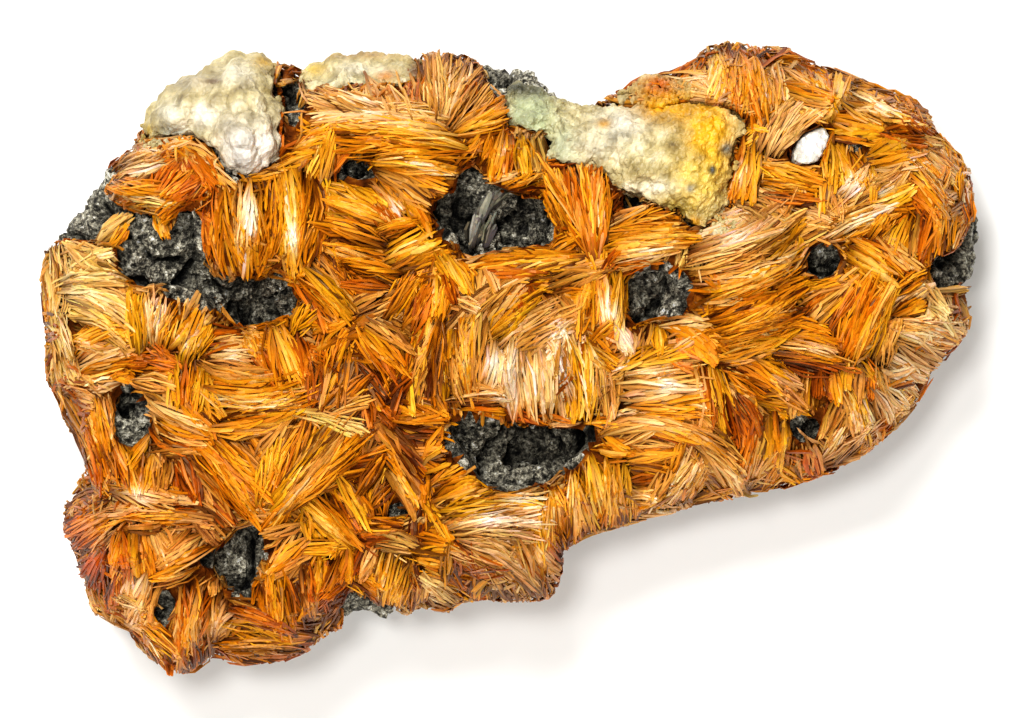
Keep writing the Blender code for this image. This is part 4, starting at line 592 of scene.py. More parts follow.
@dataclass(frozen=True)
class BaritePaste:
    """The dense barite between and under the laths: fibrous and dull, its dark russet partly painted shade
    for the gaps between laths.
    """

    name: str = "barite_ground"
    cloud: float = 1.6
    fibre: float = 0.4
    relief: float = 0.3
    roughness: float = 0.7
    gloss: float = 0.06

    def make(self) -> bpy.types.Material:
        """Make the material.

        Returns:
            The finish, clouded and fibrous on Object coordinates.
        """
        material, tree, shader = new_material(self.name)
        place = add_node(tree, "ShaderNodeTexCoord")
        cloud = add_node(tree, "ShaderNodeTexNoise", {"Scale": 1.0 / (self.cloud * MM), "Detail": 4.0},
                         {"Vector": place.outputs["Object"]})
        body = ramp(tree, cloud.outputs["Fac"],
                    [(0.3, linear("2E1202")), (0.52, linear("6E3608")), (0.75, linear("AC6818"))])
        tree.links.new(body, shader.inputs["Base Color"])
        grain = add_node(tree, "ShaderNodeTexNoise", {"Scale": 1.0 / (self.fibre * MM), "Detail": 4.0},
                         {"Vector": place.outputs["Object"]})
        bump = add_node(tree, "ShaderNodeBump", {"Strength": 0.8, "Distance": self.relief * MM},
                        {"Height": grain.outputs["Fac"]})
        tree.links.new(bump.outputs["Normal"], shader.inputs["Normal"])
        shader.inputs["Roughness"].default_value = self.roughness
        shader.inputs["Specular IOR Level"].default_value = self.gloss
        return material


@dataclass(frozen=True)
class IronMatrix:
    """Iron and manganese stained rock: grey and granular, with bright grains, its crevices painted black as
    shade and its crags painted pale.
    """

    name: str = "iron_matrix"
    grain: float = 0.34
    cloud: float = 0.8
    roughness: float = 0.5
    gloss: float = 0.25

    def make(self) -> bpy.types.Material:
        """Make the material.

        Returns:
            The finish, which also reads the height that a piece carries as relief.
        """
        material, tree, shader = new_material(self.name)
        place = add_node(tree, "ShaderNodeTexCoord")
        grains = add_node(tree, "ShaderNodeTexVoronoi", {"Scale": 1.0 / (self.grain * MM)},
                          {"Vector": place.outputs["Object"]})
        cloud = add_node(tree, "ShaderNodeTexNoise",
                         {"Scale": 1.0 / (self.cloud * MM), "Detail": 6.0, "Roughness": 0.75},
                         {"Vector": place.outputs["Object"]})
        body = ramp(tree, cloud.outputs["Fac"],
                    [(0.36, linear("0C0B09")), (0.46, linear("57534A")),
                     (0.54, linear("AEA893")), (0.64, linear("F2ECDA"))])
        spots = ramp(tree, grains.outputs["Color"],
                     [(0.0, grey(0.3)), (0.5, grey(0.9)), (0.85, grey(1.4)), (0.97, grey(3.0))])
        # Painted shade and light: crevices are painted black and crags pale, from the height that shaped them
        height = add_node(tree, "ShaderNodeAttribute", {"attribute_name": "relief"})
        level = add_node(tree, "ShaderNodeMapRange", {"From Min": -2.0, "From Max": 2.0},
                         {"Value": height.outputs["Fac"]})
        shade = ramp(tree, level.outputs[0],
                     [(0.1, grey(0.06)), (0.34, grey(0.6)), (0.55, grey(1.25)), (0.8, grey(2.0))])
        tree.links.new(multiplied(tree, multiplied(tree, body, spots), shade), shader.inputs["Base Color"])
        broad = add_node(tree, "ShaderNodeBump", {"Strength": 1.0, "Distance": 0.7 * MM},
                         {"Height": cloud.outputs["Fac"]})
        bump = add_node(tree, "ShaderNodeBump", {"Strength": 0.8, "Distance": 0.35 * MM},
                        {"Height": grains.outputs["Distance"], "Normal": broad.outputs["Normal"]})
        tree.links.new(bump.outputs["Normal"], shader.inputs["Normal"])
        shader.inputs["Roughness"].default_value = self.roughness
        shader.inputs["Specular IOR Level"].default_value = self.gloss
        return material


@dataclass(frozen=True)
class CreamCalcite:
    """Calcite crust: cream to white, waxy and granular."""

    name: str = "cream_calcite"
    grain: float = 0.55
    relief: float = 0.25
    ior: float = 1.6
    roughness: float = 0.52
    scatter: float = 0.25
    scatter_depth: float = 0.8

    def make(self) -> bpy.types.Material:
        """Make the material.

        Returns:
            The finish, in the colours its crust carries.
        """
        material, tree, shader = new_material(self.name)
        colour = add_node(tree, "ShaderNodeAttribute", {"attribute_name": "calcite_colour"})
        place = add_node(tree, "ShaderNodeTexCoord")
        grains = add_node(tree, "ShaderNodeTexVoronoi", {"Scale": 1.0 / (self.grain * MM)},
                          {"Vector": place.outputs["Object"]})
        shade = ramp(tree, grains.outputs["Color"], [(0.0, grey(0.72)), (0.5, grey(0.96)), (1.0, grey(1.12))])
        tree.links.new(multiplied(tree, colour.outputs["Color"], shade), shader.inputs["Base Color"])
        bump = add_node(tree, "ShaderNodeBump", {"Strength": 0.6, "Distance": self.relief * MM},
                        {"Height": grains.outputs["Distance"]})
        tree.links.new(bump.outputs["Normal"], shader.inputs["Normal"])
        shader.inputs["Roughness"].default_value = self.roughness
        shader.inputs["IOR"].default_value = self.ior
        shader.inputs["Subsurface Weight"].default_value = self.scatter
        shader.inputs["Subsurface Radius"].default_value = (1.0, 0.8, 0.5)
        shader.inputs["Subsurface Scale"].default_value = self.scatter_depth * MM
        return material


def search_tree(name: str) -> BVHTree:
    """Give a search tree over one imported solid.

    Args:
        name: The solid's node.

    Returns:
        Its search tree, in metres.
    """
    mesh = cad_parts[name].data
    corners = [vert.co.copy() for vert in mesh.vertices]
    return BVHTree.FromPolygons(corners, [tuple(face.vertices) for face in mesh.polygons])


# Where the crust is broken and dark rock shows, in mm: middle, and half the length and the width
HOLLOWS = [
    (-47.2, -7, 2.5, 4.2), (-19.4, 23, 2.1, 1.9), (18.2, 8.4, 4, 3.6), (38.3, 12.2, 2.7, 2.5),
    (36.2, -8.6, 1.7, 1.9), (-43.2, -30.8, 1.4, 2.4), (-34.6, -24.6, 4.4, 1.8), (-33.4, -26, 1.7, 4.6),
    (-19.6, -31, 2, 1), (-14, -18.7, 1.5, 1.1), (-17.6, 7, 1.2, 0.9), (42.8, 26, 1, 0.9),
    (0.8, -11.4, 8.6, 3.6), (-4.4, -9.6, 4.4, 3.1), (8.2, -9.6, 2.5, 1.9), (0.2, -13.4, 5.2, 3.2),
    (-3.4, 17.4, 6.4, 4.4), (-39.6, 13, 1.8, 5.6), (-40.2, 9.4, 3.4, 2.6), (-37.6, 7.6, 2, 1.8),
    (-34.4, 25.6, 1.4, 4),
]


def hollow(x: np.ndarray | float, y: np.ndarray | float) -> np.ndarray:
    """Tell how deep in a hollow each plan point lies.

    Args:
        x: Plan x, in mm.
        y: Plan y, in mm.

    Returns:
        1 in a hollow's middle, down to 0 at its rim and outside.
    """
    deep = np.zeros(np.broadcast(x, y).shape)
    for middle_x, middle_y, half_x, half_y in HOLLOWS:
        deep = np.maximum(deep, 1.0 - ((x - middle_x) / half_x) ** 2 - ((y - middle_y) / half_y) ** 2)
    return deep


@dataclass
class CrystalFace:
    """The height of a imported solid's upper face over a plan grid.

    Attributes:
        node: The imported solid's name.
        cell: The grid's spacing, in mm.
        margin: How far the grid reaches past the solid's box, in mm.
        least: The height below which nothing counts as the face, in mm.
        reach: How far past its edges the face is carried on, in cells.
        overhang: How far laths may stand out over an edge, in cells.
        smooth: How many times the height is averaged.
        broad: How many times more, for the broad form that the relief stands out from.
    """

    node: str = "barite_crust"
    cell: float = 0.25
    margin: float = 4.0
    least: float = 11.0
    reach: int = 24
    overhang: int = 1
    smooth: int = 6
    broad: int = 140
    low: np.ndarray = field(init=False)
    height: np.ndarray = field(init=False)
    relief: np.ndarray = field(init=False)
    solid: np.ndarray = field(init=False)
    near: np.ndarray = field(init=False)

    def __post_init__(self) -> None:
        """Cast down on the solid, carry its face past its edges, and smooth it."""
        tree = search_tree(self.node)
        low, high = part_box(self.node)
        self.low = np.array((low.x, low.y)) / MM - self.margin
        counts = ((np.array((high.x, high.y)) / MM + self.margin - self.low) / self.cell).astype(int) + 1
        self.height = np.full((counts[1], counts[0]), np.nan)
        down = Vector((0.0, 0.0, -1.0))
        above = high.z + 5.0 * MM
        for row in range(counts[1]):
            y = (self.low[1] + row * self.cell) * MM
            for column in range(counts[0]):
                hit = tree.ray_cast(Vector(((self.low[0] + column * self.cell) * MM, y, above)), down)[0]
                if hit is not None and hit.z > self.least * MM:
                    self.height[row, column] = hit.z / MM
        columns, rows = (self.low[i] + np.arange(counts[i]) * self.cell for i in (0, 1))
        broken = hollow(columns[None, :], rows[:, None]) > 0.0
        self.solid = ~np.isnan(self.height) & ~(broken & (self.node == "barite_crust"))
        self.near = self.solid.astype(float)
        for _ in range(self.overhang):
            self.near = np.max(np.stack(self._shifts(self.near)), axis=0)
        self._carry_on()
        for _ in range(self.smooth):
            self.height = self._blurred(self.height)
        wide = self.height
        for _ in range(self.broad):
            wide = self._blurred(wide)
        self.relief = self.height - wide

    def _shifts(self, grid: np.ndarray) -> list[np.ndarray]:
        """Give a grid's four neighbours and itself."""
        padded = np.pad(grid, 1, mode="edge")
        return [padded[1:-1, :-2], padded[1:-1, 2:], padded[:-2, 1:-1], padded[2:, 1:-1], grid]

    def _carry_on(self) -> None:
        """Fill the cells past the face's edges from their neighbours."""
        for _ in range(self.reach):
            around = np.stack(self._shifts(self.height))
            known = ~np.isnan(around)
            total = np.where(known, around, 0.0).sum(axis=0)
            count = known.sum(axis=0)
            fresh = np.isnan(self.height) & (count > 0)
            self.height[fresh] = (total / np.maximum(count, 1))[fresh]
        self.height = np.nan_to_num(self.height, nan=float(np.nanmin(self.height)))

    def _blurred(self, grid: np.ndarray) -> np.ndarray:
        """Average a grid with its neighbours."""
        return np.mean(np.stack(self._shifts(grid)), axis=0)

    def sample(self, grid: np.ndarray, x: np.ndarray, y: np.ndarray) -> np.ndarray:
        """Read a grid at plan points.

        Args:
            grid: A grid of this face.
            x: Plan x, in mm.
            y: Plan y, in mm.

        Returns:
            The grid's values there, blended between cells.
        """
        column = np.clip((x - self.low[0]) / self.cell, 0.0, grid.shape[1] - 1.001)
        row = np.clip((y - self.low[1]) / self.cell, 0.0, grid.shape[0] - 1.001)
        c = column.astype(int)
        r = row.astype(int)
        u = column - c
        v = row - r
        near = grid[r, c] * (1.0 - u) + grid[r, c + 1] * u
        far = grid[r + 1, c] * (1.0 - u) + grid[r + 1, c + 1] * u
        return near * (1.0 - v) + far * v

    def normals(self, x: np.ndarray, y: np.ndarray) -> np.ndarray:
        """Give the face's normals at plan points.

        Args:
            x: Plan x, in mm.
            y: Plan y, in mm.

        Returns:
            One unit vector for each point.
        """
        step = 0.5
        dx = (self.sample(self.height, x + step, y) - self.sample(self.height, x - step, y)) / (2.0 * step)
        dy = (self.sample(self.height, x, y + step) - self.sample(self.height, x, y - step)) / (2.0 * step)
        normal = np.stack([-dx, -dy, np.ones_like(dx)], axis=-1)
        return normal / np.linalg.norm(normal, axis=-1, keepdims=True)


@dataclass
class LathStock:
    """One lath, modelled with mesh operators: a thin ridged blade that comes to a point at its root and its
    tip.

    Attributes:
        stations: How far along the lath each ring lies, and its width and thickness there.
        ridge: How far the ridge lies beside the middle, as a share of the lath's width.
    """

    stations: tuple[tuple[float, float, float], ...] = (
        (0.12, 0.76, 0.8), (0.5, 1.0, 1.0), (0.91, 0.72, 0.75),
    )
    ridge: float = 0.14
    corners: np.ndarray = field(init=False)
    ring: np.ndarray = field(init=False)
    faces: np.ndarray = field(init=False)

    def __post_init__(self) -> None:
        """Model the lath and read its corners and faces."""
        bpy.ops.object.select_all(action="DESELECT")
        bpy.ops.mesh.primitive_cube_add(size=1.0, location=(0.5, 0.0, 0.0))
        blank = bpy.context.object
        bpy.ops.object.transform_apply(location=True, rotation=False, scale=False)
        bpy.ops.object.mode_set(mode="EDIT")
        for place, _, _ in self.stations:
            bpy.ops.mesh.select_all(action="SELECT")
            bpy.ops.mesh.bisect(plane_co=(place, 0.0, 0.0), plane_no=(1.0, 0.0, 0.0))
        bpy.ops.mesh.select_all(action="DESELECT")
        shape = bmesh.from_edit_mesh(blank.data)
        for vert in shape.verts:
            width, thick = self._size(vert.co.x)
            vert.co.y = width * (self.ridge if vert.co.z > 0.0 else vert.co.y)
            vert.co.z *= thick
        bmesh.update_edit_mesh(blank.data)
        bpy.ops.mesh.select_all(action="SELECT")
        bpy.ops.mesh.remove_doubles(threshold=0.001)
        for end in (0.0, 1.0):
            bpy.ops.mesh.select_all(action="DESELECT")
            shape = bmesh.from_edit_mesh(blank.data)
            for vert in shape.verts:
                vert.select = abs(vert.co.x - end) < 1e-6
            shape.select_flush(True)
            bmesh.update_edit_mesh(blank.data)
            bpy.ops.mesh.merge(type="CENTER")
        bpy.ops.mesh.select_all(action="SELECT")
        bpy.ops.mesh.quads_convert_to_tris()
        bpy.ops.mesh.normals_make_consistent(inside=False)
        bpy.ops.object.mode_set(mode="OBJECT")
        self.corners = np.array([vert.co[:] for vert in blank.data.vertices])
        self.ring = np.abs(self.corners[:, 0:1] - self.places[None, :]).argmin(axis=1)
        self.faces = np.array([face.vertices[:] for face in blank.data.polygons])
        bpy.data.objects.remove(blank)

    def _size(self, place: float) -> tuple[float, float]:
        """Give the width and the thickness of the ring at a place."""
        near = min(self.stations, key=lambda station: abs(station[0] - place))
        return near[1], near[2]

    @property
    def places(self) -> np.ndarray:
        """How far along the lath each ring lies, from the root on."""
        return np.array([0.0] + [station[0] for station in self.stations] + [1.0])


@dataclass
class LathBatch:
    """Many laths, as arrays in mm: their paths, the ground's normals, sizes, turns and colours."""

    paths: np.ndarray
    normals: np.ndarray
    widths: np.ndarray
    depths: np.ndarray
    rolls: np.ndarray
    colours: np.ndarray

    @staticmethod
    def joined(batches: list["LathBatch"]) -> "LathBatch":
        """Join batches to one."""
        names = ("paths", "normals", "widths", "depths", "rolls", "colours")
        return LathBatch(*(np.concatenate([getattr(batch, name) for batch in batches]) for name in names))

    def kept(self, wanted: np.ndarray) -> "LathBatch":
        """Keep the laths that a mask names."""
        return LathBatch(self.paths[wanted], self.normals[wanted], self.widths[wanted], self.depths[wanted],
                         self.rolls[wanted], self.colours[wanted])


def unit(vectors: np.ndarray) -> np.ndarray:
    """Give vectors their unit length."""
    return vectors / np.maximum(np.linalg.norm(vectors, axis=-1, keepdims=True), 1e-9)


def lath_mesh(name: str, stock: LathStock, batch: LathBatch, draw: np.random.Generator) -> bpy.types.Object:
    """Bend copies of the lath along their paths and join them in one mesh.

    Args:
        name: The new piece's name.
        stock: The lath to copy.
        batch: Where and how each copy lies.
        draw: The seeded source of each lath's place on the grain pattern.

    Returns:
        The new piece, in metres, with its colours and its grain map.
    """
    tangents = unit(np.gradient(batch.paths, axis=1))
    side = unit(np.cross(batch.normals, tangents))
    up = np.cross(tangents, side)
    turn = batch.rolls[:, None, None]
    across = side * np.cos(turn) + up * np.sin(turn)
    upward = up * np.cos(turn) - side * np.sin(turn)
    ring = stock.ring
    breadth = stock.corners[:, 1] * batch.widths[:, None]
    depth = stock.corners[:, 2] * batch.depths[:, None]
    spots = batch.paths[:, ring] + across[:, ring] * breadth[..., None] + upward[:, ring] * depth[..., None]
    number, corners = spots.shape[:2]
    faces = (stock.faces[None] + (np.arange(number) * corners)[:, None, None]).reshape(-1, 3)
    mesh = bpy.data.meshes.new(name)
    mesh.vertices.add(number * corners)
    mesh.vertices.foreach_set("co", (spots * MM).astype(np.float32).ravel())
    mesh.loops.add(faces.size)
    mesh.loops.foreach_set("vertex_index", faces.astype(np.int32).ravel())
    mesh.polygons.add(len(faces))
    mesh.polygons.foreach_set("loop_start", np.arange(0, faces.size, 3, dtype=np.int32))
    mesh.polygons.foreach_set("loop_total", np.full(len(faces), 3, dtype=np.int32))
    mesh.update(calc_edges=True)
    mesh.shade_flat()
    colour = mesh.color_attributes.new("lath_colour", "FLOAT_COLOR", "POINT")
    along = stock.places[ring]
    # Painted shade and light: a lath darkens towards its root and its sunken edge, where other laths shade
    # it, and lightens at its tip and raised edge
    rise = breadth * np.sin(batch.rolls)[:, None] + depth * np.cos(batch.rolls)[:, None]
    fade = np.interp(along, [0.0, 0.3, 0.8, 1.0], [0.5, 0.9, 1.0, 1.1])[None, :]
    fade = fade * np.interp(rise, [-0.34, -0.12, 0.0, 0.3], [0.52, 0.78, 0.97, 1.08])
    shaded = np.ones((number, corners, 4))
    shaded[..., :3] = batch.colours[:, ring] * fade[..., None]
    colour.data.foreach_set("color", shaded.astype(np.float32).ravel())
    grain = mesh.uv_layers.new(name="lath")
    offsets = draw.uniform(0.0, 40.0, (number, 2))
    places = np.stack([stock.corners[:, 1] + 0.5 * stock.corners[:, 2], along * 4.0], axis=-1)
    map_spots = (places[None] + offsets[:, None]).reshape(-1, 2)[faces.ravel()]
    grain.data.foreach_set("uv", map_spots.astype(np.float32).ravel())
    piece = bpy.data.objects.new(name, mesh)
    bpy.context.scene.collection.objects.link(piece)
    return piece


PALETTES = {tone: np.array([linear(code)[:3] for code in tone.value]) for tone in Tone}


def lath_colours(tone: Tone, value: np.ndarray, draw: np.random.Generator) -> np.ndarray:
    """Pick each lath's colour from its family.

    Args:
        tone: The colour family.
        value: How light each lath is at each station: 0 painted shade between laths, 1 painted crest
            highlight, 1.3 worn white and painted highlight.
        draw: The seeded source of each lath's own cast.

    Returns:
        One linear colour for each lath and station.
    """
    palette = PALETTES[tone]
    stops = (0.0, 0.33, 0.67, 1.0, 1.3)
    picked = np.stack([np.interp(value, stops, palette[:, i]) for i in range(3)], axis=-1)
    cast = 1.0 + draw.normal(0.0, 1.0, (len(value), 1, 3)) * np.array([0.03, 0.06, 0.1])
    return np.clip(picked * cast, 0.0, 1.0)


# Small sheaves that stand on bare rock, and the grey glassy ones in the upper hollow
TUFTS = [Sheaf.of_row(row) for row in (
    (-51.8, 14, -48.6, 17.6, 1.6, S, 0.2), (-50.6, 13.6, -48, 16.2, 1.2, A, -0.2),
    (-44.8, 19.8, -43, 15.6, 1.5, A), (-42.6, 19.6, -42.9, 16.2, 1.4, T),
    (-5.4, 13.8, -3.8, 17.6, 1.4, G, 0, PLATE), (-4.4, 16.2, -2.6, 19.8, 1.4, G, 0.1, PLATE),
    (-3.6, 13.8, -2.2, 17.2, 1.2, G, 0, PLATE), (-3, 18, -1.4, 21, 1.2, G, 0, PLATE),
    (-26.8, 31.6, -25.4, 34.2, 1.2, T), (11.6, 22.8, 14.2, 21.4, 1.2, G, 0, PLATE),
)]


class LightShadeAndToneSpot(NamedTuple):
    """A round spot where the laths look other than their sheaf, in mm.

    The shift moves them along their tone, up to lighter and down to darker: painted highlights, painted light
    and shade, worn pale tips and glassy red.
    """

    x: float
    y: float
    radius: float
    shift: float

    def cover(self, x: np.ndarray, y: np.ndarray) -> np.ndarray:
        """Tell how strongly the spot covers plan points, from 1 in its middle outwards to 0."""
        return np.exp(-((x - self.x) ** 2 + (y - self.y) ** 2) / self.radius ** 2)


# Spots where the laths carry painted highlights, partly worn pale tips, or, where the shift is below 0, are
# glassy and red
HIGHLIGHT_WEAR_AND_GLASS = [LightShadeAndToneSpot(*row) for row in (
    (-32, 19.2, 0.8, 1), (-31.8, 17.6, 1, 1.1), (-31.6, 15.8, 0.7, 1), (-26.8, 14.8, 1, 1.1),
    (-18.2, 31.4, 1.1, 0.9), (-13.8, 18.4, 0.8, 0.7), (-2.4, -0.4, 1.1, 0.9), (5.6, 3.8, 1.6, 0.3),
    (4, 0.4, 1.2, 0.3), (6.2, -1.6, 0.9, 0.4), (3.8, -6.4, 0.7, 0.4), (6.2, -7, 0.6, 0.3),
    (3.6, -3.2, 4.6, 0.14), (8.6, -3.6, 0.5, 0.4), (19.2, -3.4, 1, 0.9), (-46, -17, 1.2, 0.9),
    (-46.4, -28, 1.2, 0.8), (-3, -19.6, 1, 0.8), (1, -17, 0.8, 0.7), (12, 5.8, 1, 0.8),
    (14.4, 2.4, 1.8, 0.5), (-40, 1.8, 1.2, 0.7), (-34.5, 0, 1, 0.7), (27.4, 15.4, 1.2, 0.7),
    (42.2, 21, 1.2, 0.7), (45.6, 20.2, 0.8, 0.7), (28.8, 22.6, 1, 0.7), (-37, -32.5, 1.6, 0.6),
    (48.5, -2, 1.6, 0.5), (-54.5, -21.2, 2.6, -0.45), (-52, -26, 2.4, -0.4), (-41.4, 22, 2.4, -0.3),
    (1, -7.6, 1.6, -0.5), (-3.6, -5.8, 1.2, -0.5), (44.2, 7, 1.4, -0.3), (41.6, 1.8, 1.6, -0.3),
    (37.2, -13.4, 1.8, -0.35), (-18.6, -30.4, 2, -0.3), (-46, -22, 14, -0.15), (-22, -30, 8, -0.16),
    (32, -2, 8, -0.1), (-58.5, -20, 2.4, -0.3),
)]

# Painted light and shade: where whole stretches of the crust are painted lighter or darker
PAINTED_LIGHT_AND_SHADE = [LightShadeAndToneSpot(*row) for row in (
    (-16, -1, 6, -0.32), (-25, 1, 3, 0.15), (-24, -7, 4, -0.22), (-15, -16, 7, -0.36),
    (-24, 12, 6, -0.22), (-25, -32, 6, -0.42), (-36, -33, 5, -0.2), (-50, -14, 7, -0.16),
    (-57, -8, 4, -0.36), (-8, -23, 5, -0.2), (1, -29, 4, -0.4), (17, 1, 6, 0.16), (15, -12, 4, 0.08),
    (30, -8, 5, -0.16), (-20, 32, 6, -0.14), (-9, -3, 4, -0.18), (56, 1, 5, 0.36), (21, 35.5, 4.5, 0.3),
    (39, -3, 5, -0.1), (4, -3, 4, 0.14), (16, 11, 4, 0.1), (55, 24, 4, 0.24), (5, -17.5, 5, 0.24),
    (-57, 6, 3, 0.16),
)]


@dataclass
class BariteCrust:
    """The barite: its dense ground and the laths of every sheaf.

    Attributes:
        rock: The rock's material, for the floors of the broken hollows.
        pitch: The spacing of a comb's lanes, in mm.
        plate_pitch: The spacing of a plate's lanes, in mm.
        length: A lath's least and greatest length, in mm.
        fuzz: How many short fine laths lie over the combs.
        tries: How many places are tried for the felt's sheaves, and for the tufts.
        tufts: The most tufts of laths on the steep sides.
        tuft_gap: The least distance between two tufts, in mm.
        tuft_lanes: How many laths lie side by side in a tuft.
        sink: How far the ground lies below the crystal face, in mm.
        ground_voxel: The ground's facet size, in mm.
        seed: The number that starts the random draws.
    """

    rock: bpy.types.Material
    pitch: float = 0.29
    plate_pitch: float = 0.46
    length: tuple[float, float] = (3.4, 8.0)
    fuzz: int = 2400
    tries: int = 9000
    tufts: int = 700
    tuft_gap: float = 2.5
    tuft_lanes: int = 12
    sink: float = 0.55
    ground_voxel: float = 0.98
    seed: int = 7

    def build(self) -> list[bpy.types.Object]:
        """Build and dress the ground and the laths.

        Returns:
            The ground, then the laths, piece by piece.
        """
        self.draw = np.random.default_rng(self.seed)
        self.listed = [sheaf for sheaves in SHEAVES.values() for sheaf in sheaves]
        self.middles = np.array([np.add(sheaf.root, sheaf.tip) / 2.0 for sheaf in self.listed])
        self.face = CrystalFace()
        self.stock = LathStock()
        self.finish = LathBarite().make()
        pieces = [self._ground()]
        cover = self._cover()
        for region, sheaves in SHEAVES.items():
            batch = LathBatch.joined([self._sheaf_laths(sheaf) for sheaf in sheaves])
            pieces.append(self._piece("barite_laths_" + region, batch))
        rock = CrystalFace("matrix_rock")
        tufts = LathBatch.joined([self._sheaf_laths(sheaf, 0.6, 0.1, (0, 1), rock) for sheaf in TUFTS])
        pieces.append(self._piece("barite_laths_tufts", tufts))
        pieces.append(self._piece("barite_laths_felt", self._felt(cover)))
        pieces.append(self._piece("barite_laths_fuzz", self._fuzz()))
        pieces.append(self._piece("barite_laths_flank", self._flank()))
        return pieces

    def _piece(self, name: str, batch: LathBatch) -> bpy.types.Object:
        """Make one piece of laths and dress it.

        Args:
            name: The piece's name.
            batch: Its laths.

        Returns:
            The piece.
        """
        piece = lath_mesh(name, self.stock, batch, self.draw)
        piece.data.materials.append(self.finish)
        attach(piece, "root")
        return piece

    def _ground(self) -> bpy.types.Object:
        """Build the dense barite under the laths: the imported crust, drawn in and fibrous.

        Returns:
            The ground, with the rock's finish in its hollows.
        """
        piece = rounded_copy("barite_crust", "barite_bed", self.ground_voxel, 2)

        def push(spot: Vector, normal: Vector) -> float:
            """Draw the face in below the laths, with a fibrous relief, and break the hollows into it.

            Args:
                spot: A corner's place, in mm.
                normal: Its normal.

            Returns:
                How far it moves, in mm.
            """
            pit = min(1.0, 1.6 * float(hollow(spot.x, spot.y))) if normal.z > 0.3 and spot.z > 16.0 else 0.0
            rough = 0.6 * crags(spot) - 1.6 if pit > 0.0 else 0.0
            return 0.3 * noise.noise(spot / 0.8) - self.sink * max(0.25, normal.z) + pit * rough

        mark_crags(piece)
        roughen(piece, push)
        piece.data.materials.append(BaritePaste().make())
        piece.data.materials.append(self.rock)
        for face in piece.data.polygons:
            middle = face.center / MM
            face.material_index = int(middle.z > 12.0 and float(hollow(middle.x, middle.y)) > 0.1)
        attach(piece, "root")
        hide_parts("barite_crust")
        return piece

    def _cover(self) -> np.ndarray:
        """Mark where the listed sheaves lie.

        Returns:
            How many sheaves lie over each cell of the face's grid.
        """
        rows, columns = self.face.height.shape
        x = self.face.low[0] + np.arange(columns)[None, :] * self.face.cell
        y = self.face.low[1] + np.arange(rows)[:, None] * self.face.cell
        cover = np.zeros((rows, columns))
        for sheaf in self.listed:
            root = np.array(sheaf.root)
            run = np.array(sheaf.tip) - root
            length = np.hypot(*run)
            along = ((x - root[0]) * run[0] + (y - root[1]) * run[1]) / length ** 2
            beside = ((x - root[0]) * -run[1] + (y - root[1]) * run[0]) / length
            bowed = beside - sheaf.bend * 4.0 * along * (1.0 - along)
            cover += (along > 0.05) & (along < 0.95) & (np.abs(bowed) < 0.45 * sheaf.width)
        return cover

    def _sheaf_laths(self, sheaf: Sheaf, lift: float = 0.0, light: float = 0.0,
                     layers: tuple[int, ...] = (0, 1), face: CrystalFace | None = None) -> LathBatch:
        """Lay the laths of one sheaf: lanes side by side, each with its laths one behind the other.

        Args:
            sheaf: The sheaf to fill.
            lift: How far above the face it lies, in mm.
            light: How much lighter it is than its tone.
            layers: The upper layer of laths, and the lower one that fills it in.
            face: The face it lies on, where that isn't the barite's own.

        Returns:
            Its laths.
        """
        draw = self.draw
        face = face or self.face
        root = np.array(sheaf.root)
        run = np.array(sheaf.tip) - root
        length = float(np.hypot(*run))
        plate = sheaf.form is Form.PLATE
        pitch = self.plate_pitch if plate else self.pitch
        lanes = max(2, round(sheaf.width * 1.25 / pitch))
        # Neighbouring lanes gather in locks that rise, darken and turn together
        lock = np.ones(5) / 5.0
        lane_lift = np.convolve(draw.normal(0.0, 0.34, lanes + 4), lock, mode="valid")
        lane_light = np.convolve(draw.normal(0.0, 0.3, lanes + 4), lock, mode="valid")
        lane_light += draw.normal(0.0, 0.05)
        lane_splay = np.convolve(draw.normal(0.0, 0.3, lanes + 4), lock, mode="valid")
        laid = []
        for layer in layers:
            for lane in range(lanes):
                middle = ((lane + 0.5 + draw.normal(0.0, 0.25) + 0.5 * layer) / lanes) * 2.0 - 1.0
                reach = 1.02 + draw.normal(0.0, 0.09) - 0.24 * middle * middle
                begin = draw.uniform(-0.1, 0.1) + 0.12 * middle * middle
                while begin < reach - 0.15:
                    share = min(draw.uniform(*self.length) / length, reach - begin + 0.1)
                    laid.append((begin, share, middle, layer, lane))
                    begin += share * draw.uniform(0.35, 0.75)
        start, share, middle, layer, lane = np.array(laid).T
        index = lane.astype(int)
        number = len(start)
        place = self.stock.places
        along = start[:, None] + share[:, None] * place[None, :]
        splay = lane_splay[index] + draw.normal(0.0, 0.045, number) + 0.12 * middle
        curve = draw.normal(0.0, 0.05, number) + 0.04 * middle
        spine = place[None, :]
        swing = splay[:, None] * (spine - 0.45) + curve[:, None] * 4.0 * spine * (1.0 - spine)
        swing = swing * (share * length)[:, None]
        swing = swing + draw.normal(0.0, 0.05, swing.shape)
        half = 0.5 * sheaf.width * (0.7 + 0.42 * np.sin(np.pi * np.clip(along, 0.0, 1.0)))
        side = np.array((-run[1], run[0])) / length
        bow = sheaf.bend * 4.0 * along * (1.0 - along)
        spots = root + along[..., None] * run + (bow + middle[:, None] * half + swing)[..., None] * side
        x = spots[..., 0]
        y = spots[..., 1]
        ground = face.sample(face.height, x, y)
        arch = np.interp(place, [0.0, 0.3, 0.8, 1.0], [-0.4, 0.06, 0.1, 0.0])
        tip_lift = draw.uniform(-0.2, 0.35, number)[:, None] * spine ** 2
        crest = 0.5 * (1.0 - np.clip(middle, -1.0, 1.0) ** 2)
        level = crest + lane_lift[index] + draw.uniform(-0.1, 0.6) + lift + 0.3 * (1.0 - layer) - 0.14
        z = self._eased(ground + arch[None, :] + tip_lift + level[:, None],
                        np.hypot(np.diff(x, axis=1), np.diff(y, axis=1)))
        relief = face.sample(face.relief, x, y)
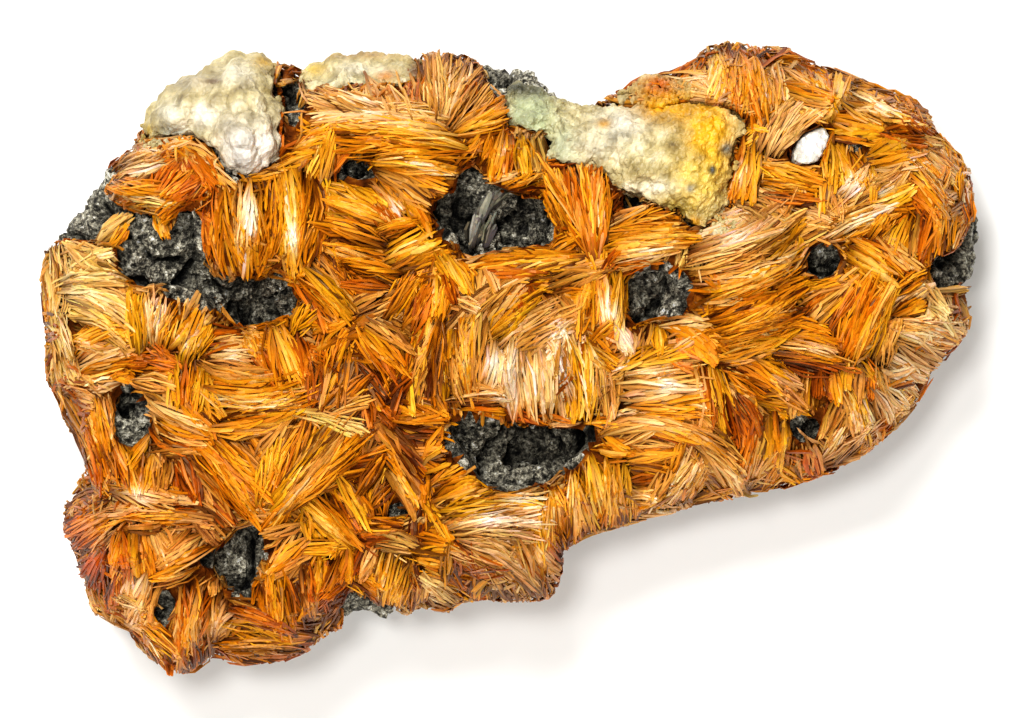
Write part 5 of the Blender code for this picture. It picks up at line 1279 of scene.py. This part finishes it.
        # Painted shade and light: the lower layer and a sheaf's edges are darkened, as where laths shade each
        # other, and its raised middle is lightened
        edge = 0.16 * np.clip(middle, -1.0, 1.0) ** 4
        value = 0.4 + light - 0.32 * layer + lane_light[index] + draw.normal(0.0, 0.065, number)
        value = value + 0.3 * crest - edge
        # Painted highlight: a few laths are made lighter, as if they caught the light
        value = value + 0.25 * (draw.uniform(0.0, 1.0, number) < 0.06)
        # Painted light and shade: laths on the face's rises are lighter and in its dips darker, partly
        # standing for wear on high points
        value = value[:, None] + 0.2 * np.clip(relief, -1.1, 1.2) + draw.normal(0.0, 0.05, x.shape)
        # Painted shade at each sheaf's root end
        value = value - 0.3 * np.exp(-np.clip(along, 0.0, 1.0) / 0.15)
        # Painted light and shade over whole stretches of the crust
        for spot in PAINTED_LIGHT_AND_SHADE:
            value = value + spot.shift * spot.cover(x, y)
        # Painted highlights, partly worn pale tips, lighten the laths; glassy spots darken little, but lose
        # green and blue
        glass = np.zeros(x.shape)
        for spot in HIGHLIGHT_WEAR_AND_GLASS:
            cover = spot.cover(x, y)
            value = value + (spot.shift if spot.shift > 0.0 else 0.3 * spot.shift) * cover
            glass = glass - min(0.0, 2.0 * spot.shift) * cover
        value = np.clip(value, 0.02, 1.3)
        tint = 1.0 - np.clip(glass, 0.0, 1.0)[..., None] * (0.0, 0.45, 0.7)
        lean = draw.choice((-1.0, 1.0)) * draw.uniform(0.3, 0.85)
        batch = LathBatch(
            np.stack([x, y, z], axis=-1),
            face.normals(x, y),
            draw.uniform(0.5, 0.95, number) if plate else draw.uniform(0.3, 0.56, number),
            draw.uniform(0.14, 0.24, number),
            (0.3 if plate else 1.0) * lean + draw.normal(0.0, 0.2, number),
            lath_colours(sheaf.tone, value, draw) * tint)
        return batch.kept(np.min(face.sample(face.near, x, y), axis=1) > 0.3)

    @staticmethod
    def _eased(z: np.ndarray, steps: np.ndarray) -> np.ndarray:
        """Keep each lath from plunging over an edge: a station drops at most as far as a bend lets it.

        Args:
            z: Each lath's heights at its stations, in mm.
            steps: The plan distance from each station to the next, in mm.

        Returns:
            The eased heights.
        """
        eased = z.copy()
        for i in range(1, z.shape[1]):
            eased[:, i] = np.maximum(eased[:, i], eased[:, i - 1] - steps[:, i - 1] * 1.5)
        return eased

    def _nearest(self, x: float, y: float) -> Sheaf:
        """Give the listed sheaf whose middle is nearest to a plan point."""
        gaps = self.middles - np.array((x, y))
        return self.listed[int((gaps ** 2).sum(axis=1).argmin())]

    def _felt(self, cover: np.ndarray) -> LathBatch:
        """Fill the face between the listed sheaves with small ones that follow their neighbours.

        Args:
            cover: How many listed sheaves lie over each cell of the face's grid.

        Returns:
            The small sheaves' laths.
        """
        draw = self.draw
        face = self.face
        batches = []
        free = (cover < 0.5) & face.solid
        for _ in range(self.tries):
            row = draw.integers(free.shape[0])
            column = draw.integers(free.shape[1])
            if not free[row, column]:
                continue
            middle = face.low + np.array((column, row)) * face.cell
            guide = self._nearest(*middle)
            heading = guide.heading + draw.normal(0.0, 0.45)
            run = np.array((math.cos(heading), math.sin(heading))) * draw.uniform(3.2, 5.5) / 2.0
            width = draw.uniform(1.3, 2.2)
            bend = draw.uniform(-0.25, 0.25)
            sheaf = Sheaf(tuple(middle - run), tuple(middle + run), width, guide.tone, bend)
            batches.append(self._sheaf_laths(sheaf, -0.3, -0.08, (0,)))
            low = np.maximum(np.array((row, column)) - 4, 0)
            free[low[0]:row + 5, low[1]:column + 5] = False
        return LathBatch.joined(batches)

    def _fuzz(self) -> LathBatch:
        """Scatter short fine laths over the combs, each near its neighbours' heading.

        Returns:
            The laths that lie on the face.
        """
        draw = self.draw
        face = self.face
        rows, columns = np.nonzero(face.solid)
        picks = draw.integers(0, len(rows), self.fuzz)
        middles = np.stack([columns[picks], rows[picks]], axis=-1) * face.cell + face.low
        guides = [self._nearest(*middle) for middle in middles]
        heading = np.array([guide.heading for guide in guides])
        heading += draw.normal(0.0, 0.25, self.fuzz)
        length = draw.uniform(1.6, 4.2, self.fuzz)
        along = (self.stock.places[None, :] - 0.5) * length[:, None]
        x = middles[:, 0:1] + along * np.cos(heading)[:, None]
        y = middles[:, 1:2] + along * np.sin(heading)[:, None]
        tilt = draw.normal(0.1, 0.12, self.fuzz)
        lift = draw.uniform(0.1, 0.75, self.fuzz)
        z = face.sample(face.height, x, y) + lift[:, None] + along * tilt[:, None]
        value = np.clip(draw.normal(0.48, 0.2, (self.fuzz, 1)), 0.02, 1.0) * np.ones(x.shape)
        colours = np.zeros((*x.shape, 3))
        for tone in Tone:
            members = np.array([guide.tone is tone for guide in guides])
            colours[members] = lath_colours(tone, value[members], draw)
        batch = LathBatch(
            np.stack([x, y, z], axis=-1),
            face.normals(x, y),
            draw.uniform(0.16, 0.36, self.fuzz),
            draw.uniform(0.1, 0.2, self.fuzz),
            draw.normal(0.0, 0.5, self.fuzz),
            colours)
        return batch.kept(np.min(face.sample(face.near, x, y), axis=1) > 0.6)

    def _steep_spots(self, rock: BVHTree) -> list[tuple[Vector, Vector]]:
        """Pick places on the crust's steep faces, apart from each other and clear of the rock.

        Args:
            rock: The rock's search tree.

        Returns:
            Each place, in metres, with its face's normal.
        """
        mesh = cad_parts["barite_crust"].data
        steep = []
        for face in mesh.polygons:
            if -0.6 < face.normal.z < 0.62 and face.area > 1e-9:
                corners = np.array([mesh.vertices[i].co[:] for i in face.vertices])
                steep.append((face.area, corners, face.normal.copy()))
        weights = np.array([item[0] for item in steep])
        weights /= weights.sum()
        chosen = []
        # The places so far, in an array that starts far from any of them
        taken = np.full((self.tufts, 3), 9.0)
        for pick in self.draw.choice(len(steep), self.tries, p=weights):
            _, corners, normal = steep[pick]
            spot = Vector(self.draw.dirichlet(np.ones(len(corners))) @ corners)
            near, facing, _, gap = rock.find_nearest(spot)
            bare = gap > 0.35 * MM and (spot - near).dot(facing) > 0.0
            apart = np.min(np.linalg.norm(taken - spot, axis=1)) > self.tuft_gap * MM
            if bare and apart and len(chosen) < self.tufts:
                taken[len(chosen)] = spot
                chosen.append((spot, normal))
        return chosen

    def _walk(self, crust: BVHTree, start: Vector, heading: Vector) -> tuple[list[Vector], list[Vector]]:
        """Lead one lath over the crust's side, from its root on.

        Args:
            crust: The crust's search tree.
            start: Where it roots, in metres.
            heading: The tuft's way, which the lath keeps roughly.

        Returns:
            Its path in mm and the ground's normals, cut short where the way turns off the crust.
        """
        draw = self.draw
        length = draw.uniform(3.0, 6.0) * MM
        spot, ground, _, _ = crust.find_nearest(start)
        path = []
        normals = []
        lift = draw.uniform(-0.25, 0.3)
        heading = (heading + Vector(draw.normal(0.0, 0.1, 3))).normalized()
        for i, place in enumerate(self.stock.places):
            if i:
                step = (place - self.stock.places[i - 1]) * length
                flat = heading - ground * heading.dot(ground)
                if flat.length < 0.1:
                    break
                heading = (flat.normalized() + heading).normalized()
                spot, ground, _, _ = crust.find_nearest(spot + heading * step)
            path.append((spot + ground * (0.2 + lift - 0.4 * (i == 0)) * MM) / MM)
            normals.append(ground)
        return path, normals

    def _flank(self) -> LathBatch:
        """Lay tufts of laths down the crust's steep outer sides and the walls of its windows.

        Returns:
            Their laths.
        """
        draw = self.draw
        crust = search_tree("barite_crust")
        rock = search_tree("matrix_rock")
        down = Vector((0.0, 0.0, -1.0))
        tones = [Tone.AMBER, Tone.RUSSET, Tone.TAN, Tone.ROSE]
        stations = len(self.stock.places)
        rows = []
        for middle, normal in self._steep_spots(rock):
            angle = draw.normal(0.0, 0.8)
            heading = (down * math.cos(angle) + normal.cross(down) * math.sin(angle)).normalized()
            tone = tones[draw.integers(len(tones))]
            for lane in range(self.tuft_lanes):
                aside = heading.cross(normal) * (lane - (self.tuft_lanes - 1) / 2.0) * 0.4
                start = middle + (aside + heading * draw.uniform(-2.0, 1.0)) * MM
                path, normals = self._walk(crust, start, heading)
                low = Vector(np.mean(path, axis=0))
                broken = low.z > 15.0 and float(hollow(low.x, low.y)) > 0.02
                whole = len(path) == stations and not broken
                if whole and rock.find_nearest(path[2] * MM)[3] > 0.25 * MM:
                    rows.append((path, normals, tone))
        number = len(rows)
        value = np.clip(draw.normal(0.38, 0.18, (number, 1)), 0.02, 1.0) * np.ones((1, stations))
        colours = np.zeros((number, stations, 3))
        for tone in tones:
            members = np.array([row[2] is tone for row in rows])
            colours[members] = lath_colours(tone, value[members], draw)
        return LathBatch(
            np.array([[point[:] for point in row[0]] for row in rows]),
            np.array([[normal[:] for normal in row[1]] for row in rows]),
            draw.uniform(0.4, 0.7, number),
            draw.uniform(0.14, 0.24, number),
            draw.normal(0.0, 0.5, number),
            colours)


def rounded_copy(node: str, name: str, voxel: float, smooth: int) -> bpy.types.Object:
    """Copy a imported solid, weld it, and remesh it to even, rounded facets.

    Args:
        node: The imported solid's name.
        name: The new piece's name.
        voxel: The new facets' size, in mm.
        smooth: How many times the corners are eased.

    Returns:
        The new piece.
    """
    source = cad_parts[node]
    mesh = source.data.copy()
    mesh.materials.clear()
    piece = bpy.data.objects.new(name, mesh)
    bpy.context.scene.collection.objects.link(piece)
    shape = bmesh.new()
    shape.from_mesh(mesh)
    bmesh.ops.remove_doubles(shape, verts=shape.verts, dist=0.01 * MM)
    shape.to_mesh(mesh)
    shape.free()
    bpy.ops.object.select_all(action="DESELECT")
    bpy.context.view_layer.objects.active = piece
    piece.select_set(True)
    remesh = piece.modifiers.new("facets", "REMESH")
    remesh.mode = "VOXEL"
    remesh.voxel_size = voxel * MM
    ease = piece.modifiers.new("ease", "SMOOTH")
    ease.iterations = smooth
    ease.factor = 0.5
    for modifier in ("facets", "ease"):
        bpy.ops.object.modifier_apply(modifier=modifier)
    return piece


def roughen(piece: bpy.types.Object, push: Callable[[Vector, Vector], float]) -> None:
    """Move a piece's corners along their normals.

    Args:
        piece: The piece to shape.
        push: Gives how far a corner moves, in mm, from its place in mm and its normal.
    """
    mesh = piece.data
    moved = [vert.co + vert.normal * push(vert.co / MM, vert.normal) * MM for vert in mesh.vertices]
    mesh.vertices.foreach_set("co", np.array([spot[:] for spot in moved], dtype=np.float32).ravel())
    mesh.update()


def crags(spot: Vector) -> float:
    """Give the rock's relief: knobs, breaks and grains, cut by crevices.

    Args:
        spot: A place, in mm.

    Returns:
        How far the rock stands out there, in mm.
    """
    knob = noise.fractal(spot / 3.4, 0.8, 2.0, 4) * 1.1
    lump = 1.5 * (0.45 - noise.voronoi(spot / 2.4)[0][0])
    grain = 0.8 * (0.5 - noise.voronoi(spot / 1.0)[0][0])
    cut = max(0.0, 1.0 - abs(noise.noise(spot / 4.6)) / 0.12)
    return knob + lump + grain - 2.0 * cut


def mark_crags(piece: bpy.types.Object) -> None:
    """Write the rock's relief at each corner to the piece, for the rock's painted shade and light."""
    relief = np.array([crags(vert.co / MM) for vert in piece.data.vertices], dtype=np.float32)
    piece.data.attributes.new("relief", "FLOAT", "POINT").data.foreach_set("value", relief)


@dataclass
class MatrixRock:
    """The rock that carries the crystals.

    Attributes:
        rock: Its material.
        voxel: Its facet size, in mm.
        rest: How thick its untouched foot is, in mm.
        fade: How far above that its relief reaches its full depth, in mm.
    """

    rock: bpy.types.Material
    voxel: float = 0.66
    rest: float = 0.6
    fade: float = 3.0

    def build(self) -> bpy.types.Object:
        """Build and dress the rock.

        Returns:
            The rock.
        """
        piece = rounded_copy("matrix_rock", "matrix_surface", self.voxel, 2)

        def push(spot: Vector, normal: Vector) -> float:
            """Give the relief, with the flat resting face left flat."""
            settled = min(1.0, (spot.z - self.rest) / self.fade)
            return settled * crags(spot) if settled > 0.0 else 0.0

        mark_crags(piece)
        roughen(piece, push)
        piece.data.materials.append(self.rock)
        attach(piece, "root")
        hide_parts("matrix_rock")
        return piece


class Stain(NamedTuple):
    """A patch of colour on the calcite, in mm, with how strongly it covers."""

    x: float
    y: float
    along: float
    across: float
    colour: str
    strength: float


@dataclass
class CalciteCrusts:
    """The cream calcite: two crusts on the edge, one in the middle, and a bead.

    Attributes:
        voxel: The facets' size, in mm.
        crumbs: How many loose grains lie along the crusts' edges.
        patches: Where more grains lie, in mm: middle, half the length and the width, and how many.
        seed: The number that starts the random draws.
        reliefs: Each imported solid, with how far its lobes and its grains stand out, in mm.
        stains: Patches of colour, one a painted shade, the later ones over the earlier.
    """

    voxel: float = 0.34
    crumbs: int = 520
    patches: tuple[tuple[float, float, float, float, int], ...] = (
        (18.0, 33.2, 4.6, 2.4, 260), (20.4, 31.2, 5.4, 0.9, 120), (27.2, 27.0, 0.9, 4.0, 60),
        (25.0, 16.4, 2.4, 1.2, 50), (-44.6, 27.2, 2.2, 0.9, 50),
    )
    seed: int = 11
    reliefs: tuple[tuple[str, float, float], ...] = (
        ("calcite_crust_left", 1.7, 0.3), ("calcite_crust_top", 1.3, 0.5),
        ("calcite_crust_middle", 1.1, 0.75), ("calcite_bead", 0.8, 0.3),
    )
    stains: tuple[Stain, ...] = (
        # The left crust: a tan-grey ledge, a brown crease, a painted grey shade, white knobs and lobe
        Stain(-40.0, 34.6, 4.0, 1.8, "B7A98A", 0.7), Stain(-37.0, 34.5, 1.2, 0.4, "6B4A28", 0.8),
        Stain(-42.0, 28.3, 2.4, 1.2, "A9A795", 0.7), Stain(-46.0, 28.4, 1.6, 1.4, "B59A4A", 0.8),
        Stain(-32.5, 25.5, 4.2, 4.2, "EFE7DA", 0.8), Stain(-38.0, 30.0, 2.0, 1.6, "EAE2CC", 0.8),
        Stain(-34.0, 35.5, 2.4, 1.8, "E6DCC0", 0.7), Stain(-42.5, 30.8, 1.8, 1.4, "E4DCC4", 0.7),
        Stain(-31.0, 37.2, 1.4, 1.0, "C8A24C", 0.6),
        # The top crust: cream and yellow streaks, a tan outer edge, orange and brown spots
        Stain(-24.5, 36.3, 1.6, 0.8, "D9B648", 0.8), Stain(-15.8, 35.3, 1.2, 0.8, "C98428", 0.8),
        Stain(-12.0, 36.0, 1.0, 1.2, "7A4C22", 0.8), Stain(-19.0, 38.2, 6.0, 0.7, "BF9F6A", 0.7),
        Stain(-19.5, 36.2, 3.5, 0.8, "E8DEC0", 0.8), Stain(-21.0, 34.4, 3.0, 0.7, "E9E0B8", 0.7),
        # The middle crust: pale green, then white, then yellow, with ochre and orange at the top edge
        Stain(2.4, 30.5, 3.2, 4.4, "B9BE93", 0.85), Stain(6.5, 26.5, 1.6, 2.4, "C2C49E", 0.8),
        Stain(13.5, 29.3, 3.0, 2.2, "EFE8D2", 0.8), Stain(10.5, 26.5, 3.0, 2.0, "E2D8B8", 0.7),
        Stain(11.5, 29.3, 0.8, 0.6, "E2A52C", 0.8), Stain(18.6, 32.4, 3.4, 2.6, "CE9018", 0.95),
        Stain(18.5, 34.3, 1.6, 1.0, "D9731A", 0.85), Stain(24.4, 27.0, 2.8, 5.6, "EDB204", 1.0),
        Stain(23.0, 22.0, 3.2, 3.6, "E4C458", 0.7), Stain(20.4, 30.8, 3.2, 1.3, "E2A814", 0.9),
        Stain(17.5, 21.2, 2.6, 0.8, "EDE4C6", 0.7), Stain(20.5, 18.6, 2.6, 1.3, "B99B3A", 0.8),
        Stain(22.6, 16.8, 0.8, 0.7, "E0A21E", 0.9),
        Stain(26.5, 26.0, 0.75, 0.75, "8E8A78", 0.8), Stain(22.0, 21.0, 0.5, 0.5, "8E8A78", 0.8),
        Stain(24.7, 23.3, 0.5, 0.5, "2E2A22", 0.9), Stain(1.0, 33.8, 4.0, 1.2, "55533F", 0.8),
        # The bead
        Stain(37.0, 26.2, 2.8, 2.8, "F8F5F2", 0.8),
    )

    def build(self) -> list[bpy.types.Object]:
        """Build and dress each crust, and the loose grains.

        Returns:
            The crusts, the bead and the grains.
        """
        finish = CreamCalcite().make()
        pieces = []
        for node, lobes, grains in self.reliefs:
            piece = rounded_copy(node, node + "_surface", self.voxel, 6)

            def push(spot: Vector, normal: Vector) -> float:
                """Give rounded grains on rounded lobes.

                Args:
                    spot: A corner's place, in mm.
                    normal: Its normal; not used.

                Returns:
                    How far it moves, in mm.
                """
                lobe = noise.voronoi(spot / 2.8)[0][0]
                grain = noise.voronoi(spot / 0.95)[0][0]
                sugar = 0.5 - noise.voronoi(spot / 0.5)[0][0]
                return lobes * (0.5 - lobe) + grains * (0.45 - grain) + 0.4 * grains * sugar

            roughen(piece, push)
            self._colour(piece)
            piece.data.materials.append(finish)
            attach(piece, "root")
            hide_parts(node)
            pieces.append(piece)
        crumbs = self._crumbs(pieces[:3])
        self._colour(crumbs)
        crumbs.data.materials.append(finish)
        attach(crumbs, "root")
        return [*pieces, crumbs]

    def _crumbs(self, crusts: list[bpy.types.Object]) -> bpy.types.Object:
        """Scatter small grains along the crusts' edges and in the patches.

        Args:
            crusts: The crusts that have edges on the barite or the rock.

        Returns:
            All the grains, as one piece.
        """
        draw = np.random.default_rng(self.seed)
        bpy.ops.object.select_all(action="DESELECT")
        bpy.ops.mesh.primitive_ico_sphere_add(subdivisions=1, radius=1.0)
        blank = bpy.context.object
        corners = np.array([vert.co[:] for vert in blank.data.vertices])
        faces = np.array([face.vertices[:] for face in blank.data.polygons])
        bpy.data.objects.remove(blank)
        edges = np.array([vert.co[:] for crust in crusts for vert in crust.data.vertices
                          if -0.2 < vert.normal.z < 0.3]) / MM
        number = self.crumbs
        down = Vector((0.0, 0.0, -1.0))
        carriers = [search_tree(node) for node in ("barite_crust", "matrix_rock")]
        edges = np.array([edge for edge in draw.permutation(edges)[:4 * number]
                          if min(tree.find_nearest(Vector(edge) * MM)[3] for tree in carriers) < 0.5 * MM])
        spots = list(edges[draw.integers(0, len(edges), number)] + draw.normal(0.0, 0.16, (number, 3)))
        for x, y, along, across, count in self.patches:
            angles = draw.uniform(0.0, math.tau, count)
            for angle, share in zip(angles, np.sqrt(draw.uniform(0.0, 1.0, count))):
                spot = (x + along * share * math.cos(angle), y + across * share * math.sin(angle), 60.0)
                hit = carriers[0].ray_cast(Vector(spot) * MM, down)[0]
                if hit is not None:
                    spots.append(np.array(hit) / MM + (0.0, 0.0, draw.uniform(0.3, 0.9)))
        spots = np.array(spots)
        number = len(spots)
        sizes = draw.uniform(0.2, 0.6, (number, 1, 1)) * draw.uniform(0.7, 1.2, (number, 1, 3))
        knobs = corners[None] * sizes * draw.uniform(0.86, 1.08, (number, len(corners), 1)) + spots[:, None]
        joined = (faces[None] + (np.arange(number) * len(corners))[:, None, None]).reshape(-1, 3)
        mesh = bpy.data.meshes.new("calcite_crumbs")
        mesh.from_pydata((knobs.reshape(-1, 3) * MM).tolist(), [], joined.tolist())
        mesh.shade_flat()
        piece = bpy.data.objects.new("calcite_crumbs", mesh)
        bpy.context.scene.collection.objects.link(piece)
        return piece

    def _colour(self, piece: bpy.types.Object) -> None:
        """Colour a crust: a cream body, browner and darker along a pattern of cell borders and paler inside
        the cells, and the stains over them.

        Args:
            piece: The crust, which then carries its colours at its corners.
        """
        mesh = piece.data
        spots = np.empty(len(mesh.vertices) * 3)
        mesh.vertices.foreach_get("co", spots)
        spots = spots.reshape(-1, 3) / MM
        cloud = np.array([noise.fractal(Vector(spot) / 2.4, 0.8, 2.0, 4) for spot in spots])
        crease = np.array([noise.voronoi(Vector(spot) / 2.6)[0][0] for spot in spots])
        level = np.clip(0.62 + 0.32 * cloud - 0.75 * (crease - 0.4), 0.0, 1.0)
        stops = (0.0, 0.35, 0.65, 1.0)
        body = np.array([linear(code)[:3] for code in ("665432", "A4925E", "CABA88", "E4D9B8")])
        colours = np.stack([np.interp(level, stops, body[:, i]) for i in range(3)], axis=-1)
        for stain in self.stains:
            away = (spots[:, :2] - (stain.x, stain.y)) / (stain.along, stain.across)
            cover = 1.5 * stain.strength * np.exp(-(away ** 2).sum(axis=1)) * (0.9 + 0.4 * cloud)
            cover = np.clip(cover, 0.0, 1.0)[:, None]
            tint = np.array(linear(stain.colour)[:3]) * cover * (0.55 + 0.55 * level[:, None])
            colours = colours * (1.0 - cover) + tint
        shaded = np.ones((len(spots), 4))
        shaded[:, :3] = colours
        attribute = mesh.color_attributes.new("calcite_colour", "FLOAT_COLOR", "POINT")
        attribute.data.foreach_set("color", shaded.astype(np.float32).ravel())


class Lamp(NamedTuple):
    """A soft light: its name, place in metres, size in metres and power in watts."""

    name: str
    spot: tuple[float, float, float]
    size: float
    power: float


@dataclass
class Studio:
    """The pale floor, the soft lights and the camera straight above.

    Attributes:
        picture_width: How much the picture takes in from side to side, in mm.
        lens: The camera's focal length, in mm.
        sensor: The width of its sensor, in mm.
        focus_height: The height that the picture's width is measured at, in mm.
        surround: The strength of the pale surround.
        lamps: The soft lights.
    """

    picture_width: float = 128.0
    lens: float = 180.0
    sensor: float = 36.0
    focus_height: float = 20.0
    surround: float = 0.16
    lamps: tuple[Lamp, ...] = (
        Lamp("key", (-0.15, 0.34, 0.6), 0.22, 3.9),
        Lamp("top", (-0.1, 0.08, 0.7), 0.12, 1.7),
        Lamp("fill", (0.0, -0.42, 0.48), 0.6, 2.4),
    )

    def build(self) -> None:
        """Set up the studio."""
        self._floor()
        self._camera()
        self._lights()

    def _floor(self) -> None:
        """Lay the floor."""
        bpy.ops.object.select_all(action="DESELECT")
        bpy.ops.mesh.primitive_plane_add(size=3.0, location=(0.0, 0.0, 0.0))
        floor = bpy.context.object
        floor.name = "floor"
        material, _, shader = new_material("floor_paper")
        shader.inputs["Base Color"].default_value = linear("F7F6F3")
        shader.inputs["Roughness"].default_value = 0.9
        floor.data.materials.append(material)

    def _camera(self) -> None:
        """Hang the camera so high that the picture takes in its width."""
        camera = bpy.data.cameras.new("camera")
        camera.lens = self.lens
        camera.sensor_width = self.sensor
        camera.clip_end = 10.0
        holder = bpy.data.objects.new("camera", camera)
        holder.location = (0.0, 0.0, (self.focus_height + self.picture_width * self.lens / self.sensor) * MM)
        bpy.context.scene.collection.objects.link(holder)
        bpy.context.scene.camera = holder

    def _lights(self) -> None:
        """Hang the lights, each aimed at the plate, in a pale surround."""
        for lamp in self.lamps:
            light = bpy.data.lights.new(lamp.name, "AREA")
            light.size = lamp.size
            light.energy = lamp.power
            holder = bpy.data.objects.new(lamp.name, light)
            holder.location = lamp.spot
            aim = Vector(lamp.spot) - Vector((0.0, 0.0, self.focus_height * MM))
            holder.rotation_euler = aim.to_track_quat("Z", "Y").to_euler()
            bpy.context.scene.collection.objects.link(holder)
        world = bpy.data.worlds.new("studio")
        bpy.context.scene.world = world
        world.use_nodes = True
        background = world.node_tree.nodes["Background"]
        background.inputs["Color"].default_value = linear("FFF8EC")
        background.inputs["Strength"].default_value = self.surround
        bpy.context.scene.view_settings.view_transform = "Standard"
        bpy.context.scene.view_settings.look = "Medium High Contrast"


def main() -> None:
    """Build the specimen's looks and the studio."""
    logging.basicConfig(level=logging.INFO, format="%(message)s")
    rock = IronMatrix().make()
    pieces = BariteCrust(rock).build()
    pieces.append(MatrixRock(rock).build())
    pieces += CalciteCrusts().build()
    for piece in pieces:
        log.info("%s: %d faces", piece.name, len(piece.data.polygons))
    Studio().build()


if __name__ == "__main__":
    main()
